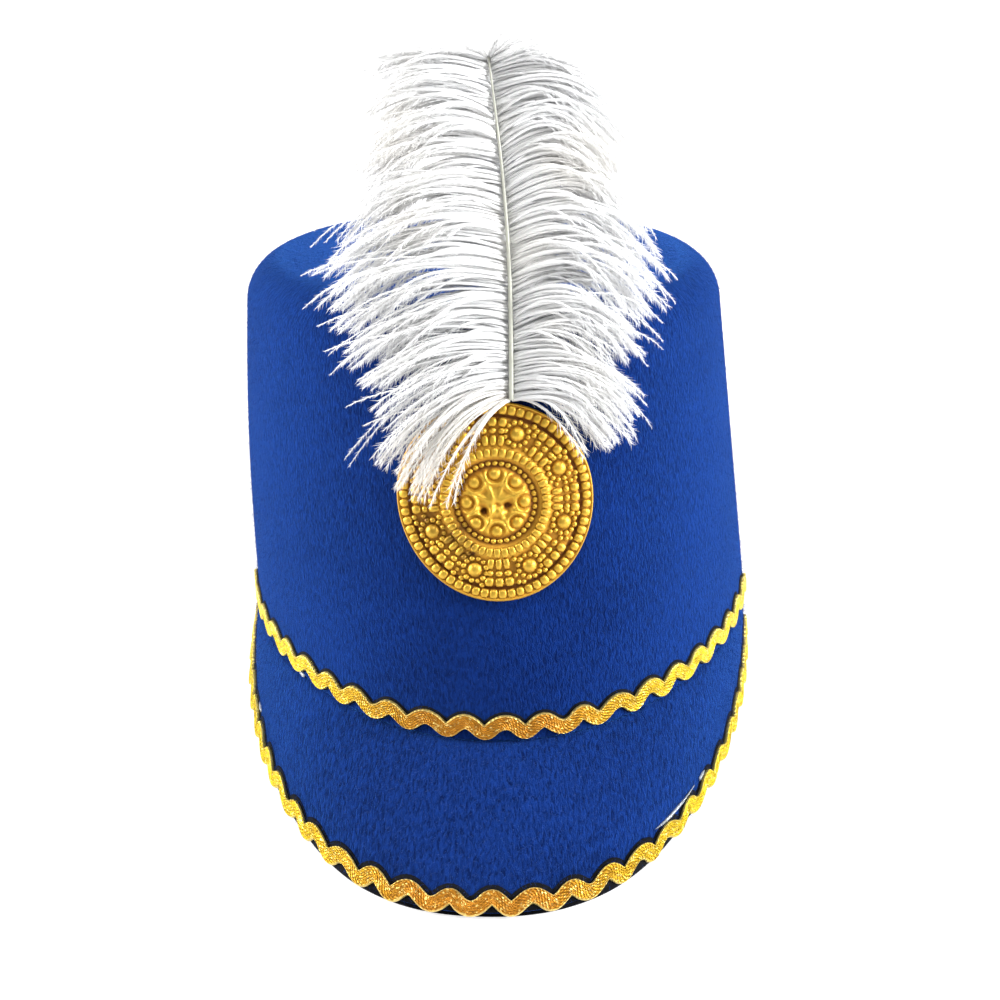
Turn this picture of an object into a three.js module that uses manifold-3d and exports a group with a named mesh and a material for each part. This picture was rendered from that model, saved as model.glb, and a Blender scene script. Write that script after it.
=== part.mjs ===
// A parade shako of blue felt: a tall hollow crown with a flat top, a drooping peak,
// two rows of gold rickrack, a round badge in relief and a white ostrich plume.
// Lengths are in millimetres and angles in degrees. The hat is worked out upright, with
// the crown's rim in the plane z = 0 and its front towards -Y, and is then set down as
// it rests, on the back of its rim and the front edge of its peak.

import * as THREE from 'three';
import { mergeVertices } from 'three/addons/utils/BufferGeometryUtils.js';
import Module from 'manifold-3d';

const { clamp, degToRad, lerp } = THREE.MathUtils;
const wasm = await Module();
wasm.setup();

// Clearance between pieces that touch
const GAP = 0.3;

// Crown: a felt wall that narrows upwards, a rounded shoulder and a flat top
const CROWN_HEIGHT = 120;
const RIM_HALF_WIDTH = 90;
const RIM_HALF_DEPTH = 108;
const RIM_FRONT_DIP = 7;
const TOP_HALF_WIDTH = 79.7;
const TOP_HALF_DEPTH = 78.5;
const SHOULDER_RADIUS = 13;
const CROWN_WALL = 2.5;
const TOP_LEAN = 6.2;
const SIDE_BULGE = 2;
const CROWN_SEGMENTS = 64;
const WALL_STEPS = 4;
const SHOULDER_STEPS = 4;

// Peak: a felt crescent along the front half of the rim, with a dark lining under it
const PEAK_REACH = 39.5;
const PEAK_DROP = 41;
const PEAK_HALF_WIDTH = 88.2;
const PEAK_SQUARENESS = 2.26;
const PEAK_END_ANGLE = 82;
const PEAK_END_DROP = 5.2;
const PEAK_ARCH = 2;
const PEAK_FELT = 1.8;
const LINING_THICKNESS = 1.2;
const LINING_SHOW = 1.5;
const PEAK_STEPS = 44;
const PEAK_SPANS = 3;

// Where the felt is pressed flat by the surface that the hat stands on
const BACK_FLAT_DEPTH = 8;
const FRONT_FLAT_PRESS = 0.4;

// Rickrack: a flat braid whose two edges wave together
const TRIM_BAND = 4.6;
const TRIM_SWING = 1.7;
const TRIM_PITCH = 12.3;
const TRIM_THICKNESS = 1.2;
const SEAM_TRIM_MARGIN = 0.6;
const SEAM_TRIM_END_ANGLE = 83;
const TRIM_STEPS = 6;

// Badge: a round plaque bent to the wall
const BADGE_RADIUS = 29.3;
const BADGE_HEIGHT = 66;
const BADGE_ACROSS = 5.9;
const BADGE_BASE = 1.2;
const BADGE_RELIEF = 3;
const BADGE_SEGMENTS = 48;
const BOSS_COUNT = 8;
const BOSS_ORBIT = 20.5;
const BOSS_RADIUS = 3.4;
const BOSS_RISE = 1.5;
const PETAL_COUNT = 8;
const PETAL_ORBIT = 8.6;
const PETAL_RADIUS = 2.6;
const PETAL_RISE = 1.2;

// The badge's rings from its centre to its edge: radius as a share of BADGE_RADIUS and
// height as a share of BADGE_RELIEF
const BADGE_RINGS = [
  { radius: 0.06, height: 0.95 },
  { radius: 0.14, height: 0.8 },
  { radius: 0.22, height: 0.42 },
  { radius: 0.29, height: 0.36 },
  { radius: 0.36, height: 0.3 },
  { radius: 0.42, height: 0.42 },
  { radius: 0.47, height: 0.3 },
  { radius: 0.52, height: 0.62 },
  { radius: 0.57, height: 0.3 },
  { radius: 0.64, height: 0.3 },
  { radius: 0.7, height: 0.3 },
  { radius: 0.77, height: 0.3 },
  { radius: 0.83, height: 0.28 },
  { radius: 0.9, height: 0.46 },
  { radius: 0.95, height: 0.24 },
  { radius: 1, height: 0.3 },
];

// Plume: an ostrich feather whose quill stands on the wall above the badge
const QUILL_LENGTH = 93.5;
const QUILL_FOOT_RADIUS = 1.3;
const QUILL_TIP_RADIUS = 0.5;
const QUILL_FOOT_ACROSS = 11.5;
const QUILL_TIP_ACROSS = 9.5;
const QUILL_BOW = 2;
const QUILL_SIDES = 8;
const QUILL_STEPS = 8;
const PLUME_HALF_WIDTH = 55;
const PLUME_BACKING = 2.2;
const PLUME_BACKING_HALF_WIDTH = 9;
const PLUME_BACKING_TAPER = 0.8;
const LOCK_COUNT = 14;
const LOCK_ROOT_ACROSS = 3;
const LOCK_WIDTH = 12;
const LOCK_THICKNESS = 4;
const LOCK_TIP_SHARE = 0.22;
const LOCK_SPANS = 5;
const LOCK_CURL = 0.72;
const LOCK_ARCH = 6;
const LOCK_LIFT = 8;
const LOCK_FRONT_LIFT = 11;

// The feather's outline: a row for each height on the quill, as a share of its length,
// with the reach of its locks to both sides as a share of PLUME_HALF_WIDTH, and how far
// their tips rise above their roots, as a share of QUILL_LENGTH
const PLUME_OUTLINE = [
  { along: 0.06, left: 0.63, right: 0.54, rise: -0.27 },
  { along: 0.2, left: 0.87, right: 0.76, rise: -0.21 },
  { along: 0.38, left: 0.95, right: 0.82, rise: -0.16 },
  { along: 0.5, left: 1, right: 0.88, rise: -0.08 },
  { along: 0.62, left: 0.85, right: 0.76, rise: -0.02 },
  { along: 0.75, left: 0.68, right: 0.58, rise: 0.02 },
  { along: 0.88, left: 0.58, right: 0.42, rise: 0.05 },
  { along: 1, left: 0.25, right: 0.18, rise: 0.03 },
];

const FELT_BLUE = new THREE.MeshStandardMaterial({ color: 0x16439f, roughness: 0.95, metalness: 0 });
const LINING_BLACK = new THREE.MeshStandardMaterial({ color: 0x14161c, roughness: 0.8, metalness: 0 });
const BRAID_GOLD = new THREE.MeshStandardMaterial({ color: 0xc9971f, roughness: 0.4, metalness: 0.8 });
const BADGE_GOLD = new THREE.MeshStandardMaterial({ color: 0xcf9a1d, roughness: 0.35, metalness: 0.9 });
const FEATHER_WHITE = new THREE.MeshStandardMaterial({ color: 0xf1eeea, roughness: 0.9, metalness: 0 });
const QUILL_GREY = new THREE.MeshStandardMaterial({ color: 0xc3c6b6, roughness: 0.55, metalness: 0 });

// Mesh helpers

// The same triangles, turned round where they would face inwards.
function facingOut(positions, triangles) {
  const volume = triangles.reduce((sum, [a, b, c]) => {
    const crossed = new THREE.Vector3().crossVectors(positions[b], positions[c]);
    return sum + positions[a].dot(crossed);
  }, 0);
  return volume < 0 ? triangles.map(([a, b, c]) => [a, c, b]) : triangles;
}

// A geometry from corner points and triangles of their numbers.
function meshGeometry(positions, triangles) {
  const geometry = new THREE.BufferGeometry();
  geometry.setAttribute(
    'position',
    new THREE.Float32BufferAttribute(positions.flatMap((point) => point.toArray()), 3),
  );
  geometry.setIndex(facingOut(positions, triangles).flat());
  geometry.computeVertexNormals();
  return geometry;
}

// Two triangles for each side between ring i and ring j of a closed ring of count points.
function ringBand(i, j, count) {
  const triangles = [];
  for (let k = 0; k < count; k += 1) {
    const next = (k + 1) % count;
    triangles.push([i * count + k, j * count + k, j * count + next]);
    triangles.push([i * count + k, j * count + next, i * count + next]);
  }
  return triangles;
}

// A closed body from round rings, shut by a fan to a pole at each end.
function bodyOfRings(rings, firstPole, lastPole) {
  const count = rings[0].length;
  const positions = [...rings.flat(), firstPole, lastPole];
  const first = positions.length - 2;
  const last = positions.length - 1;
  const triangles = rings.slice(1).flatMap((_, i) => ringBand(i, i + 1, count));
  const end = (rings.length - 1) * count;
  for (let k = 0; k < count; k += 1) {
    const next = (k + 1) % count;
    triangles.push([first, k, next]);
    triangles.push([last, end + next, end + k]);
  }
  return meshGeometry(positions, triangles);
}

// A closed body from like sections. Each lists one face forth and the other face back,
// so that its end is closed by a strip across it.
function bodyOfSections(sections) {
  const count = sections[0].length;
  const positions = sections.flat();
  const triangles = sections.slice(1).flatMap((_, i) => ringBand(i, i + 1, count));
  const end = (sections.length - 1) * count;
  for (let k = 0; k < count / 2 - 1; k += 1) {
    const far = count - 1 - k;
    triangles.push([k, k + 1, far - 1], [k, far - 1, far]);
    triangles.push([end + k, end + far - 1, end + k + 1], [end + k, end + far, end + far - 1]);
  }
  return meshGeometry(positions, triangles);
}

// The geometry's solid, ready to be joined.
function toSolid(geometry) {
  const bare = geometry.clone();
  bare.deleteAttribute('normal');
  const merged = mergeVertices(bare, 1e-4);
  return new wasm.Manifold(
    new wasm.Mesh({
      numProp: 3,
      vertProperties: Float32Array.from(merged.attributes.position.array),
      triVerts: Uint32Array.from(merged.index.array),
    }),
  );
}

// The geometry of several bodies that run into each other, joined to one.
function joined(geometries) {
  const whole = geometries.map(toSolid).reduce((sum, body) => sum.add(body));
  const { numProp, vertProperties, triVerts } = whole.getMesh();
  const geometry = new THREE.BufferGeometry();
  const positions = [];
  for (let i = 0; i < vertProperties.length; i += numProp) {
    positions.push(vertProperties[i], vertProperties[i + 1], vertProperties[i + 2]);
  }
  geometry.setAttribute('position', new THREE.Float32BufferAttribute(positions, 3));
  geometry.setIndex(Array.from(triVerts));
  geometry.computeVertexNormals();
  return geometry;
}

// The value of a column of a table, read between its rows.
function readTable(table, key, column, at) {
  const next = table.findIndex((row) => row[key] >= at);
  if (next < 0) return table[table.length - 1][column];
  if (next === 0) return table[0][column];
  const [low, high] = [table[next - 1], table[next]];
  return lerp(low[column], high[column], (at - low[key]) / (high[key] - low[key]));
}

// Crown

// The height of the rim's edge, which dips at the front.
function rimHeight(angle) {
  return -RIM_FRONT_DIP * Math.max(0, Math.cos(angle)) ** 2;
}

// A point of the crown at an angle from the front, towards +X, and a height above the
// rim's plane, moved inwards by inset.
function crownPoint(angle, height, inset = 0) {
  const share = height / CROWN_HEIGHT;
  const halfWidth = lerp(RIM_HALF_WIDTH, TOP_HALF_WIDTH, share) - inset;
  const halfDepth = lerp(RIM_HALF_DEPTH, TOP_HALF_DEPTH, share) - inset;
  const bulge = SIDE_BULGE * Math.sin(Math.PI * clamp(share, 0, 1)) * Math.max(0, -Math.sin(angle)) ** 2;
  return new THREE.Vector3(
    halfWidth * Math.sin(angle) - TOP_LEAN * share - bulge,
    -halfDepth * Math.cos(angle),
    height,
  );
}

// A point off the outside of the wall: across it from the front's middle line, at a
// height, and standing off along the wall's normal. Above the top the wall goes on.
function onWall(across, height, standoff) {
  const step = 0.01;
  const angle = across / lerp(RIM_HALF_WIDTH, TOP_HALF_WIDTH, height / CROWN_HEIGHT);
  const point = crownPoint(angle, height);
  const along = crownPoint(angle + step, height).sub(crownPoint(angle - step, height));
  const up = crownPoint(angle, height + step).sub(crownPoint(angle, height - step));
  return point.addScaledVector(along.cross(up).normalize(), standoff);
}

// The crown's profile from the rim to the edge of the flat top, inset by a wall. dip is
// the share of the rim's dip that a row takes.
function crownProfile(inset) {
  const wallTop = CROWN_HEIGHT - SHOULDER_RADIUS;
  const radius = SHOULDER_RADIUS - inset;
  const rows = [];
  for (let i = 0; i <= WALL_STEPS; i += 1) {
    rows.push({ height: (wallTop * i) / WALL_STEPS, dip: 1 - i / WALL_STEPS, inset });
  }
  for (let i = 1; i <= SHOULDER_STEPS; i += 1) {
    const turn = (Math.PI / 2) * (i / SHOULDER_STEPS);
    rows.push({
      height: wallTop + radius * Math.sin(turn),
      dip: 0,
      inset: inset + radius * (1 - Math.cos(turn)),
    });
  }
  return rows;
}

// The height of the surface that the hat stands on, in the upright hat's frame.
function floorHeight(y) {
  return Math.tan(restTilt()) * (y - (RIM_HALF_DEPTH - BACK_FLAT_DEPTH));
}

// The angle by which the hat leans back when it stands on its rim and its peak.
function restTilt() {
  const foot = liningEdge(0)[0];
  const backContact = RIM_HALF_DEPTH - BACK_FLAT_DEPTH;
  return Math.atan((foot.z + FRONT_FLAT_PRESS) / (foot.y - backContact));
}

// The point, raised to the surface that the hat stands on where it would lie below it.
function pressedFlat(point) {
  return new THREE.Vector3(point.x, point.y, Math.max(point.z, floorHeight(point.y)));
}

// One ring of points round the crown.
function crownRing({ height, dip, inset }) {
  return Array.from({ length: CROWN_SEGMENTS }, (_, k) => {
    const angle = (2 * Math.PI * k) / CROWN_SEGMENTS;
    return pressedFlat(crownPoint(angle, height + dip * rimHeight(angle), inset));
  });
}

function crownGeometry() {
  const outer = crownProfile(0).map(crownRing).reverse();
  const inner = crownProfile(CROWN_WALL).map(crownRing);
  const topMiddle = new THREE.Vector3(-TOP_LEAN, 0, CROWN_HEIGHT);
  const ceilingMiddle = new THREE.Vector3(-TOP_LEAN, 0, CROWN_HEIGHT - CROWN_WALL);
  return bodyOfRings([...outer, ...inner], topMiddle, ceilingMiddle);
}

// Peak

// How far the peak's edge has come forward at an angle, from 0 at its ends to 1.
function forwardShare(angle) {
  return Math.abs(Math.cos(angle)) ** (2 / PEAK_SQUARENESS);
}

// A point of the line where the peak meets the crown's rim.
function peakSeam(angle) {
  const height = rimHeight(angle) - GAP;
  return crownPoint(angle, height);
}

// A point of the upper edge of the peak's outer rim.
function peakEdge(angle) {
  const forward = forwardShare(angle);
  const side = Math.sign(angle) * Math.abs(Math.sin(angle)) ** (2 / PEAK_SQUARENESS);
  return new THREE.Vector3(
    PEAK_HALF_WIDTH * side,
    -(RIM_HALF_DEPTH + PEAK_REACH) * forward,
    -lerp(PEAK_END_DROP, PEAK_DROP, forward),
  );
}

// The peak's length from the seam to its edge at an angle.
function peakLength(angle) {
  return peakSeam(angle).distanceTo(peakEdge(angle));
}

// A point of the peak at a share of its length from the seam, and a depth below its
// upper face, which arches a little.
function peakPoint(angle, share, depth) {
  const step = 0.01;
  const flat = (a, s) => peakSeam(a).lerp(peakEdge(a), s);
  const along = flat(angle + step, share).sub(flat(angle - step, share));
  const outward = flat(angle, share + step).sub(flat(angle, share - step));
  const normal = outward.cross(along).normalize();
  const arch = PEAK_ARCH * forwardShare(angle) * 4 * share * (1 - Math.min(share, 1));
  return flat(angle, share).addScaledVector(normal, arch - depth);
}

// The angles of the sections along the peak, from one end to the other.
function peakAngles() {
  const end = degToRad(PEAK_END_ANGLE);
  return Array.from({ length: PEAK_STEPS + 1 }, (_, i) => lerp(-end, end, i / PEAK_STEPS));
}

// A section through a layer of the peak, from its top face to its bottom face.
function peakSection(angle, top, bottom, overhang) {
  const shares = Array.from({ length: PEAK_SPANS + 1 }, (_, i) => i / PEAK_SPANS);
  if (overhang > 0) shares.push(1 + overhang / peakLength(angle));
  const upper = shares.map((share) => pressedFlat(peakPoint(angle, share, top)));
  const lower = shares.map((share) => pressedFlat(peakPoint(angle, share, bottom)));
  return [...upper, ...lower.reverse()];
}

// The upper and the lower corner of the lining's outer edge at an angle.
function liningEdge(angle) {
  const end = 1 + LINING_SHOW / peakLength(angle);
  const top = PEAK_FELT + GAP;
  return [peakPoint(angle, end, top), peakPoint(angle, end, top + LINING_THICKNESS)];
}

function peakGeometry() {
  return bodyOfSections(peakAngles().map((angle) => peakSection(angle, 0, PEAK_FELT, 0)));
}

function liningGeometry() {
  const top = PEAK_FELT + GAP;
  const bottom = top + LINING_THICKNESS;
  return bodyOfSections(peakAngles().map((angle) => peakSection(angle, top, bottom, LINING_SHOW)));
}

// Rickrack

// A curve through the points that place gives for the angles of one row of rickrack.
class AngleCurve extends THREE.Curve {
  constructor(place, endAngle) {
    super();
    this.place = place;
    this.endAngle = degToRad(endAngle);
  }

  angleAt(t) {
    return lerp(-this.endAngle, this.endAngle, t);
  }

  getPoint(t) {
    return this.place(this.angleAt(t), 0, 0);
  }
}

// A row of rickrack. place gives the point at an angle, across the row and off its ground.
function rickrackGeometry(place, endAngle) {
  const curve = new AngleCurve(place, endAngle);
  const waves = Math.round(curve.getLength() / TRIM_PITCH);
  const count = waves * TRIM_STEPS;
  const half = TRIM_BAND / 2;
  const sections = Array.from({ length: count + 1 }, (_, i) => {
    const angle = curve.angleAt(curve.getUtoTmapping(i / count));
    const swing = TRIM_SWING * Math.sin((2 * Math.PI * i) / TRIM_STEPS);
    return [
      place(angle, swing - half, GAP),
      place(angle, swing + half, GAP),
      place(angle, swing + half, GAP + TRIM_THICKNESS),
      place(angle, swing - half, GAP + TRIM_THICKNESS),
    ];
  });
  return bodyOfSections(sections);
}

// Half the width of a row of rickrack, from crest to crest.
const TRIM_HALF_WIDTH = TRIM_SWING + TRIM_BAND / 2;

function seamTrimGeometry() {
  const middle = SEAM_TRIM_MARGIN + TRIM_HALF_WIDTH;
  const place = (angle, across, standoff) =>
    onWall(angle * RIM_HALF_WIDTH, rimHeight(angle) + middle + across, standoff);
  return rickrackGeometry(place, SEAM_TRIM_END_ANGLE);
}

function peakTrimGeometry() {
  const middle = TRIM_HALF_WIDTH - LINING_SHOW;
  const place = (angle, across, standoff) =>
    peakPoint(angle, 1 - (middle + across) / peakLength(angle), -standoff);
  return rickrackGeometry(place, PEAK_END_ANGLE);
}

// Badge

// The height of a round bump at a distance from its middle.
function bump(distance, radius, rise) {
  return rise * Math.max(0, 1 - (distance / radius) ** 2);
}

// The height of the bumps of one circle of them, at a place on the badge.
function bumpCircle(radius, angle, count, orbit, bumpRadius, rise) {
  const nearest = Math.round((angle * count) / (2 * Math.PI)) * ((2 * Math.PI) / count);
  const x = radius * Math.cos(angle - nearest) - orbit;
  const y = radius * Math.sin(angle - nearest);
  return bump(Math.hypot(x, y), bumpRadius, rise);
}

// The height of the badge's face above its back.
function badgeFace(row, angle) {
  const radius = row.radius * BADGE_RADIUS;
  const bosses = bumpCircle(radius, angle, BOSS_COUNT, BOSS_ORBIT, BOSS_RADIUS, BOSS_RISE);
  const petals = bumpCircle(radius, angle, PETAL_COUNT, PETAL_ORBIT, PETAL_RADIUS, PETAL_RISE);
  return BADGE_BASE + row.height * BADGE_RELIEF + Math.max(bosses, petals);
}

// One ring of points on the badge, at a height above its back that rise gives.
function badgeRing(radius, rise) {
  return Array.from({ length: BADGE_SEGMENTS }, (_, k) => {
    const angle = (2 * Math.PI * k) / BADGE_SEGMENTS;
    const across = BADGE_ACROSS + radius * Math.sin(angle);
    return onWall(across, BADGE_HEIGHT + radius * Math.cos(angle), GAP + rise(angle));
  });
}

function badgeGeometry() {
  const face = BADGE_RINGS.map((row) =>
    badgeRing(row.radius * BADGE_RADIUS, (angle) => badgeFace(row, angle)),
  );
  const back = [1, 2 / 3, 1 / 3].map((share) => badgeRing(share * BADGE_RADIUS, () => 0));
  const middle = BADGE_BASE + BADGE_RINGS[0].height * BADGE_RELIEF;
  return bodyOfRings(
    [...face, ...back],
    onWall(BADGE_ACROSS, BADGE_HEIGHT, GAP + middle),
    onWall(BADGE_ACROSS, BADGE_HEIGHT, GAP),
  );
}

// Plume

// The wall height of the quill's foot, just above the badge.
const QUILL_FOOT_HEIGHT = BADGE_HEIGHT + BADGE_RADIUS + GAP;

// The quill's place on the wall at a share of its length.
function quillPlace(along) {
  return {
    across: lerp(QUILL_FOOT_ACROSS, QUILL_TIP_ACROSS, along) + QUILL_BOW * Math.sin(Math.PI * along),
    height: QUILL_FOOT_HEIGHT + QUILL_LENGTH * along,
    radius: lerp(QUILL_FOOT_RADIUS, QUILL_TIP_RADIUS, along),
  };
}

function quillGeometry() {
  const sections = Array.from({ length: QUILL_STEPS + 1 }, (_, i) => {
    const { across, height, radius } = quillPlace(i / QUILL_STEPS);
    const middle = 2 * GAP + PLUME_BACKING + radius;
    return Array.from({ length: QUILL_SIDES }, (_unused, k) => {
      const turn = (2 * Math.PI * (k + 0.5)) / QUILL_SIDES;
      return onWall(across + radius * Math.sin(turn), height, middle + radius * Math.cos(turn));
    });
  });
  return bodyOfSections(sections);
}

// The leaf behind the quill that all locks grow from.
function backingGeometry() {
  const sections = Array.from({ length: QUILL_STEPS + 1 }, (_, i) => {
    const along = i / QUILL_STEPS;
    const { across, height } = quillPlace(along);
    const half = PLUME_BACKING_HALF_WIDTH * Math.sqrt(1 - PLUME_BACKING_TAPER * along ** 2);
    return [
      onWall(across - half, height, GAP),
      onWall(across, height, GAP),
      onWall(across + half, height, GAP),
      onWall(across + half, height, GAP + PLUME_BACKING),
      onWall(across, height, GAP + PLUME_BACKING),
      onWall(across - half, height, GAP + PLUME_BACKING),
    ];
  });
  return bodyOfSections(sections);
}

// One lock of barbs: it grows from the leaf beside the quill, lifts off the wall and
// narrows to its tip. side is -1 or 1.
function lockGeometry(along, side, lift) {
  const root = quillPlace(along);
  const column = side < 0 ? 'left' : 'right';
  const reach = PLUME_HALF_WIDTH * readTable(PLUME_OUTLINE, 'along', column, along);
  const rise = QUILL_LENGTH * readTable(PLUME_OUTLINE, 'along', 'rise', along);
  const sections = Array.from({ length: LOCK_SPANS + 1 }, (_, i) => {
    const share = i / LOCK_SPANS;
    const across = root.across + side * lerp(LOCK_ROOT_ACROSS, reach, share);
    const height = root.height + rise * share ** 2 + LOCK_ARCH * Math.sin(Math.PI * share);
    const off = GAP + LOCK_THICKNESS / 2 + lift * Math.sin(Math.PI * LOCK_CURL * share);
    const taper = lerp(1, LOCK_TIP_SHARE, share ** 2);
    const half = (LOCK_WIDTH / 2) * taper;
    const thick = (LOCK_THICKNESS / 2) * taper;
    return [
      onWall(across, height - half, off),
      onWall(across, height, off + thick),
      onWall(across, height + half, off),
      onWall(across, height, off - thick),
    ];
  });
  return bodyOfSections(sections);
}

function plumeGeometry() {
  const locks = [];
  for (let i = 0; i < LOCK_COUNT; i += 1) {
    const along = lerp(LOCK_WIDTH / 2 / QUILL_LENGTH, 1, i / (LOCK_COUNT - 1));
    const lift = i % 2 ? LOCK_LIFT : LOCK_FRONT_LIFT;
    locks.push(lockGeometry(along, -1, lift), lockGeometry(along, 1, lift));
  }
  return joined([backingGeometry(), ...locks]);
}

// The hat, upright and then set down

function piece(name, geometry, material) {
  const mesh = new THREE.Mesh(geometry, material);
  mesh.name = name;
  return mesh;
}

const upright = new THREE.Group();
upright.add(
  piece('crown', crownGeometry(), FELT_BLUE),
  piece('peak', peakGeometry(), FELT_BLUE),
  piece('peak_lining', liningGeometry(), LINING_BLACK),
  piece('seam_trim', seamTrimGeometry(), BRAID_GOLD),
  piece('peak_trim', peakTrimGeometry(), BRAID_GOLD),
  piece('badge', badgeGeometry(), BADGE_GOLD),
  piece('plume', plumeGeometry(), FEATHER_WHITE),
  piece('quill', quillGeometry(), QUILL_GREY),
);
upright.rotation.x = -restTilt();

const hat = new THREE.Group();
hat.add(upright);
const box = new THREE.Box3().setFromObject(hat, true);
const middle = box.getCenter(new THREE.Vector3());
upright.position.set(-middle.x, -middle.y, -box.min.z);

export default hat;
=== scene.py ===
"""A felt parade shako with gold rickrack, a round relief badge and a white ostrich plume.

The hat stands as it rests by itself, on the back of its rim and the front of its peak.
Its sizes are in millimetres in the upright hat's own frame, where -Y is the front, and
Posture lays them into the row's frame in metres.
"""

from __future__ import annotations

import logging
import math
from dataclasses import dataclass, field
from enum import Enum
from typing import Callable, Sequence

import bpy
import numpy as np
from mathutils import Matrix, Vector

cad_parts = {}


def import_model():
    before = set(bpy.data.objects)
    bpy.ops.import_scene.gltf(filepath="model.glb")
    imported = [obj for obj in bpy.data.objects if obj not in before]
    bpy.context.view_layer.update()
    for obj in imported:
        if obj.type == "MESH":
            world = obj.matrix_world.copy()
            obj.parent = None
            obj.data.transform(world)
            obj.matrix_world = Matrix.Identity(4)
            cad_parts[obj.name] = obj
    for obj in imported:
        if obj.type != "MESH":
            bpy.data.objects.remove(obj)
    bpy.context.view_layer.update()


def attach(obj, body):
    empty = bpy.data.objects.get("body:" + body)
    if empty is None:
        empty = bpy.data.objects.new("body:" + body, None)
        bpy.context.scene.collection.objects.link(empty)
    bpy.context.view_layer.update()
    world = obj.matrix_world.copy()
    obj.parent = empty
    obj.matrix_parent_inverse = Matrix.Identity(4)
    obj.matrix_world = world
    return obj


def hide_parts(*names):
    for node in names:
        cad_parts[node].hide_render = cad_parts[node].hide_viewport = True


log = logging.getLogger("shako")

MM = 0.001
GAP = 0.3

Array = np.ndarray
Colour = tuple[float, float, float]
Place = Callable[[Array, Array, Array], Array]


class Side(Enum):
    """A side of the quill, as the sign of the way across the wall."""

    LEFT = -1
    RIGHT = 1


class Ends(Enum):
    """How a shell is closed at its first and its last ring of points."""

    POLES = "poles"
    CAPS = "caps"


class BeadKind(Enum):
    """The shapes that the badge's relief is built up from."""

    ROUND = "round"
    SQUARE = "square"


def unit(vectors: Array) -> Array:
    """Scales vectors to length one."""
    return vectors / np.linalg.norm(vectors, axis=-1, keepdims=True)


def blend(low: Array | float, high: Array | float, share: Array | float) -> Array | float:
    """Goes from low to high by a share."""
    return low + (high - low) * share


@dataclass(frozen=True)
class Posture:
    """How the upright hat is set down: it leans back on its rim and its peak.

    Attributes:
        tilt: The angle about the X axis in radians.
        place: The row's place of the upright frame's origin in millimetres.
        back_contact: How far behind the middle the flat foot of the rim begins.
        bare_foot: How high above the surface under the hat the felt has no nap.
        nap_fade: The height over which the nap then comes to its full thickness.
    """

    tilt: float = math.radians(9.9042)
    place: tuple[float, float, float] = (0.2515, 23.7907, 17.2001)
    back_contact: float = 100.0
    bare_foot: float = 2.5
    nap_fade: float = 3.0

    def turn(self) -> Array:
        """Gives the rotation from the upright frame to the row's."""
        c, s = math.cos(self.tilt), math.sin(self.tilt)
        return np.array([[1.0, 0.0, 0.0], [0.0, c, s], [0.0, -s, c]])

    def to_row(self, points: Array) -> Array:
        """Lays upright points in millimetres into the row's frame in metres."""
        return (points @ self.turn().T + np.array(self.place)) * MM

    def pressed_flat(self, points: Array) -> Array:
        """Raises points to the surface that the hat stands on where they lie below it."""
        floor = math.tan(self.tilt) * (points[..., 1] - self.back_contact)
        pressed = points.copy()
        pressed[..., 2] = np.maximum(points[..., 2], floor)
        return pressed

    def clear_of_floor(self, points: Array) -> Array:
        """Gives 0 for points close to the surface that the hat stands on, and 1 higher up."""
        return np.clip((self.to_row(points)[..., 2] / MM - self.bare_foot) / self.nap_fade, 0.0, 1.0)


POSTURE = Posture()


@dataclass(frozen=True)
class CrownForm:
    """The surface of the tall crown, from the rim to the flat top.

    Attributes:
        height: The crown's height above the plane of the rim.
        rim_half_width: Half the rim's width.
        rim_half_depth: Half the rim's depth from front to back.
        rim_front_dip: How far the rim dips at the front.
        top_half_width: Half the width at the top, before the shoulder is rounded.
        top_half_depth: Half the depth at the top.
        shoulder: The radius between the wall and the top.
        wall: The felt's thickness.
        lean: How far the top stands over to the left.
        bulge: How far the left side swells.
    """

    height: float = 120.0
    rim_half_width: float = 90.0
    rim_half_depth: float = 108.0
    rim_front_dip: float = 7.0
    top_half_width: float = 79.7
    top_half_depth: float = 78.5
    shoulder: float = 13.0
    wall: float = 2.5
    lean: float = 6.2
    bulge: float = 2.0

    def rim_height(self, angle: Array) -> Array:
        """Gives the height of the rim's edge at an angle from the front."""
        return -self.rim_front_dip * np.maximum(0.0, np.cos(angle)) ** 2

    def point(self, angle: Array, height: Array, inset: Array | float = 0.0) -> Array:
        """Gives points of the wall.

        Args:
            angle: The angle from the front towards +X.
            height: The height above the plane of the rim.
            inset: How far inside the outer face.

        Returns:
            The points, one for each angle and height.
        """
        angle, height, inset = np.broadcast_arrays(angle, height, inset)
        share = height / self.height
        half_width = blend(self.rim_half_width, self.top_half_width, share) - inset
        half_depth = blend(self.rim_half_depth, self.top_half_depth, share) - inset
        swell = np.sin(np.pi * np.clip(share, 0.0, 1.0)) * np.maximum(0.0, -np.sin(angle)) ** 2
        x = half_width * np.sin(angle) - self.lean * share - self.bulge * swell
        return np.stack([x, -half_depth * np.cos(angle), height], axis=-1)

    def on_wall(self, across: Array, height: Array, standoff: Array | float) -> Array:
        """Gives points off the outside of the wall.

        Args:
            across: The way round the wall from the front's middle line.
            height: The height above the plane of the rim, also above the top.
            standoff: How far off the wall along its normal.

        Returns:
            The points in the upright frame.
        """
        across, height, standoff = np.broadcast_arrays(across, height, standoff)
        angle = across / blend(self.rim_half_width, self.top_half_width, height / self.height)
        step = 0.01
        along = self.point(angle + step, height) - self.point(angle - step, height)
        up = self.point(angle, height + step) - self.point(angle, height - step)
        return self.point(angle, height) + unit(np.cross(along, up)) * standoff[..., None]


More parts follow.
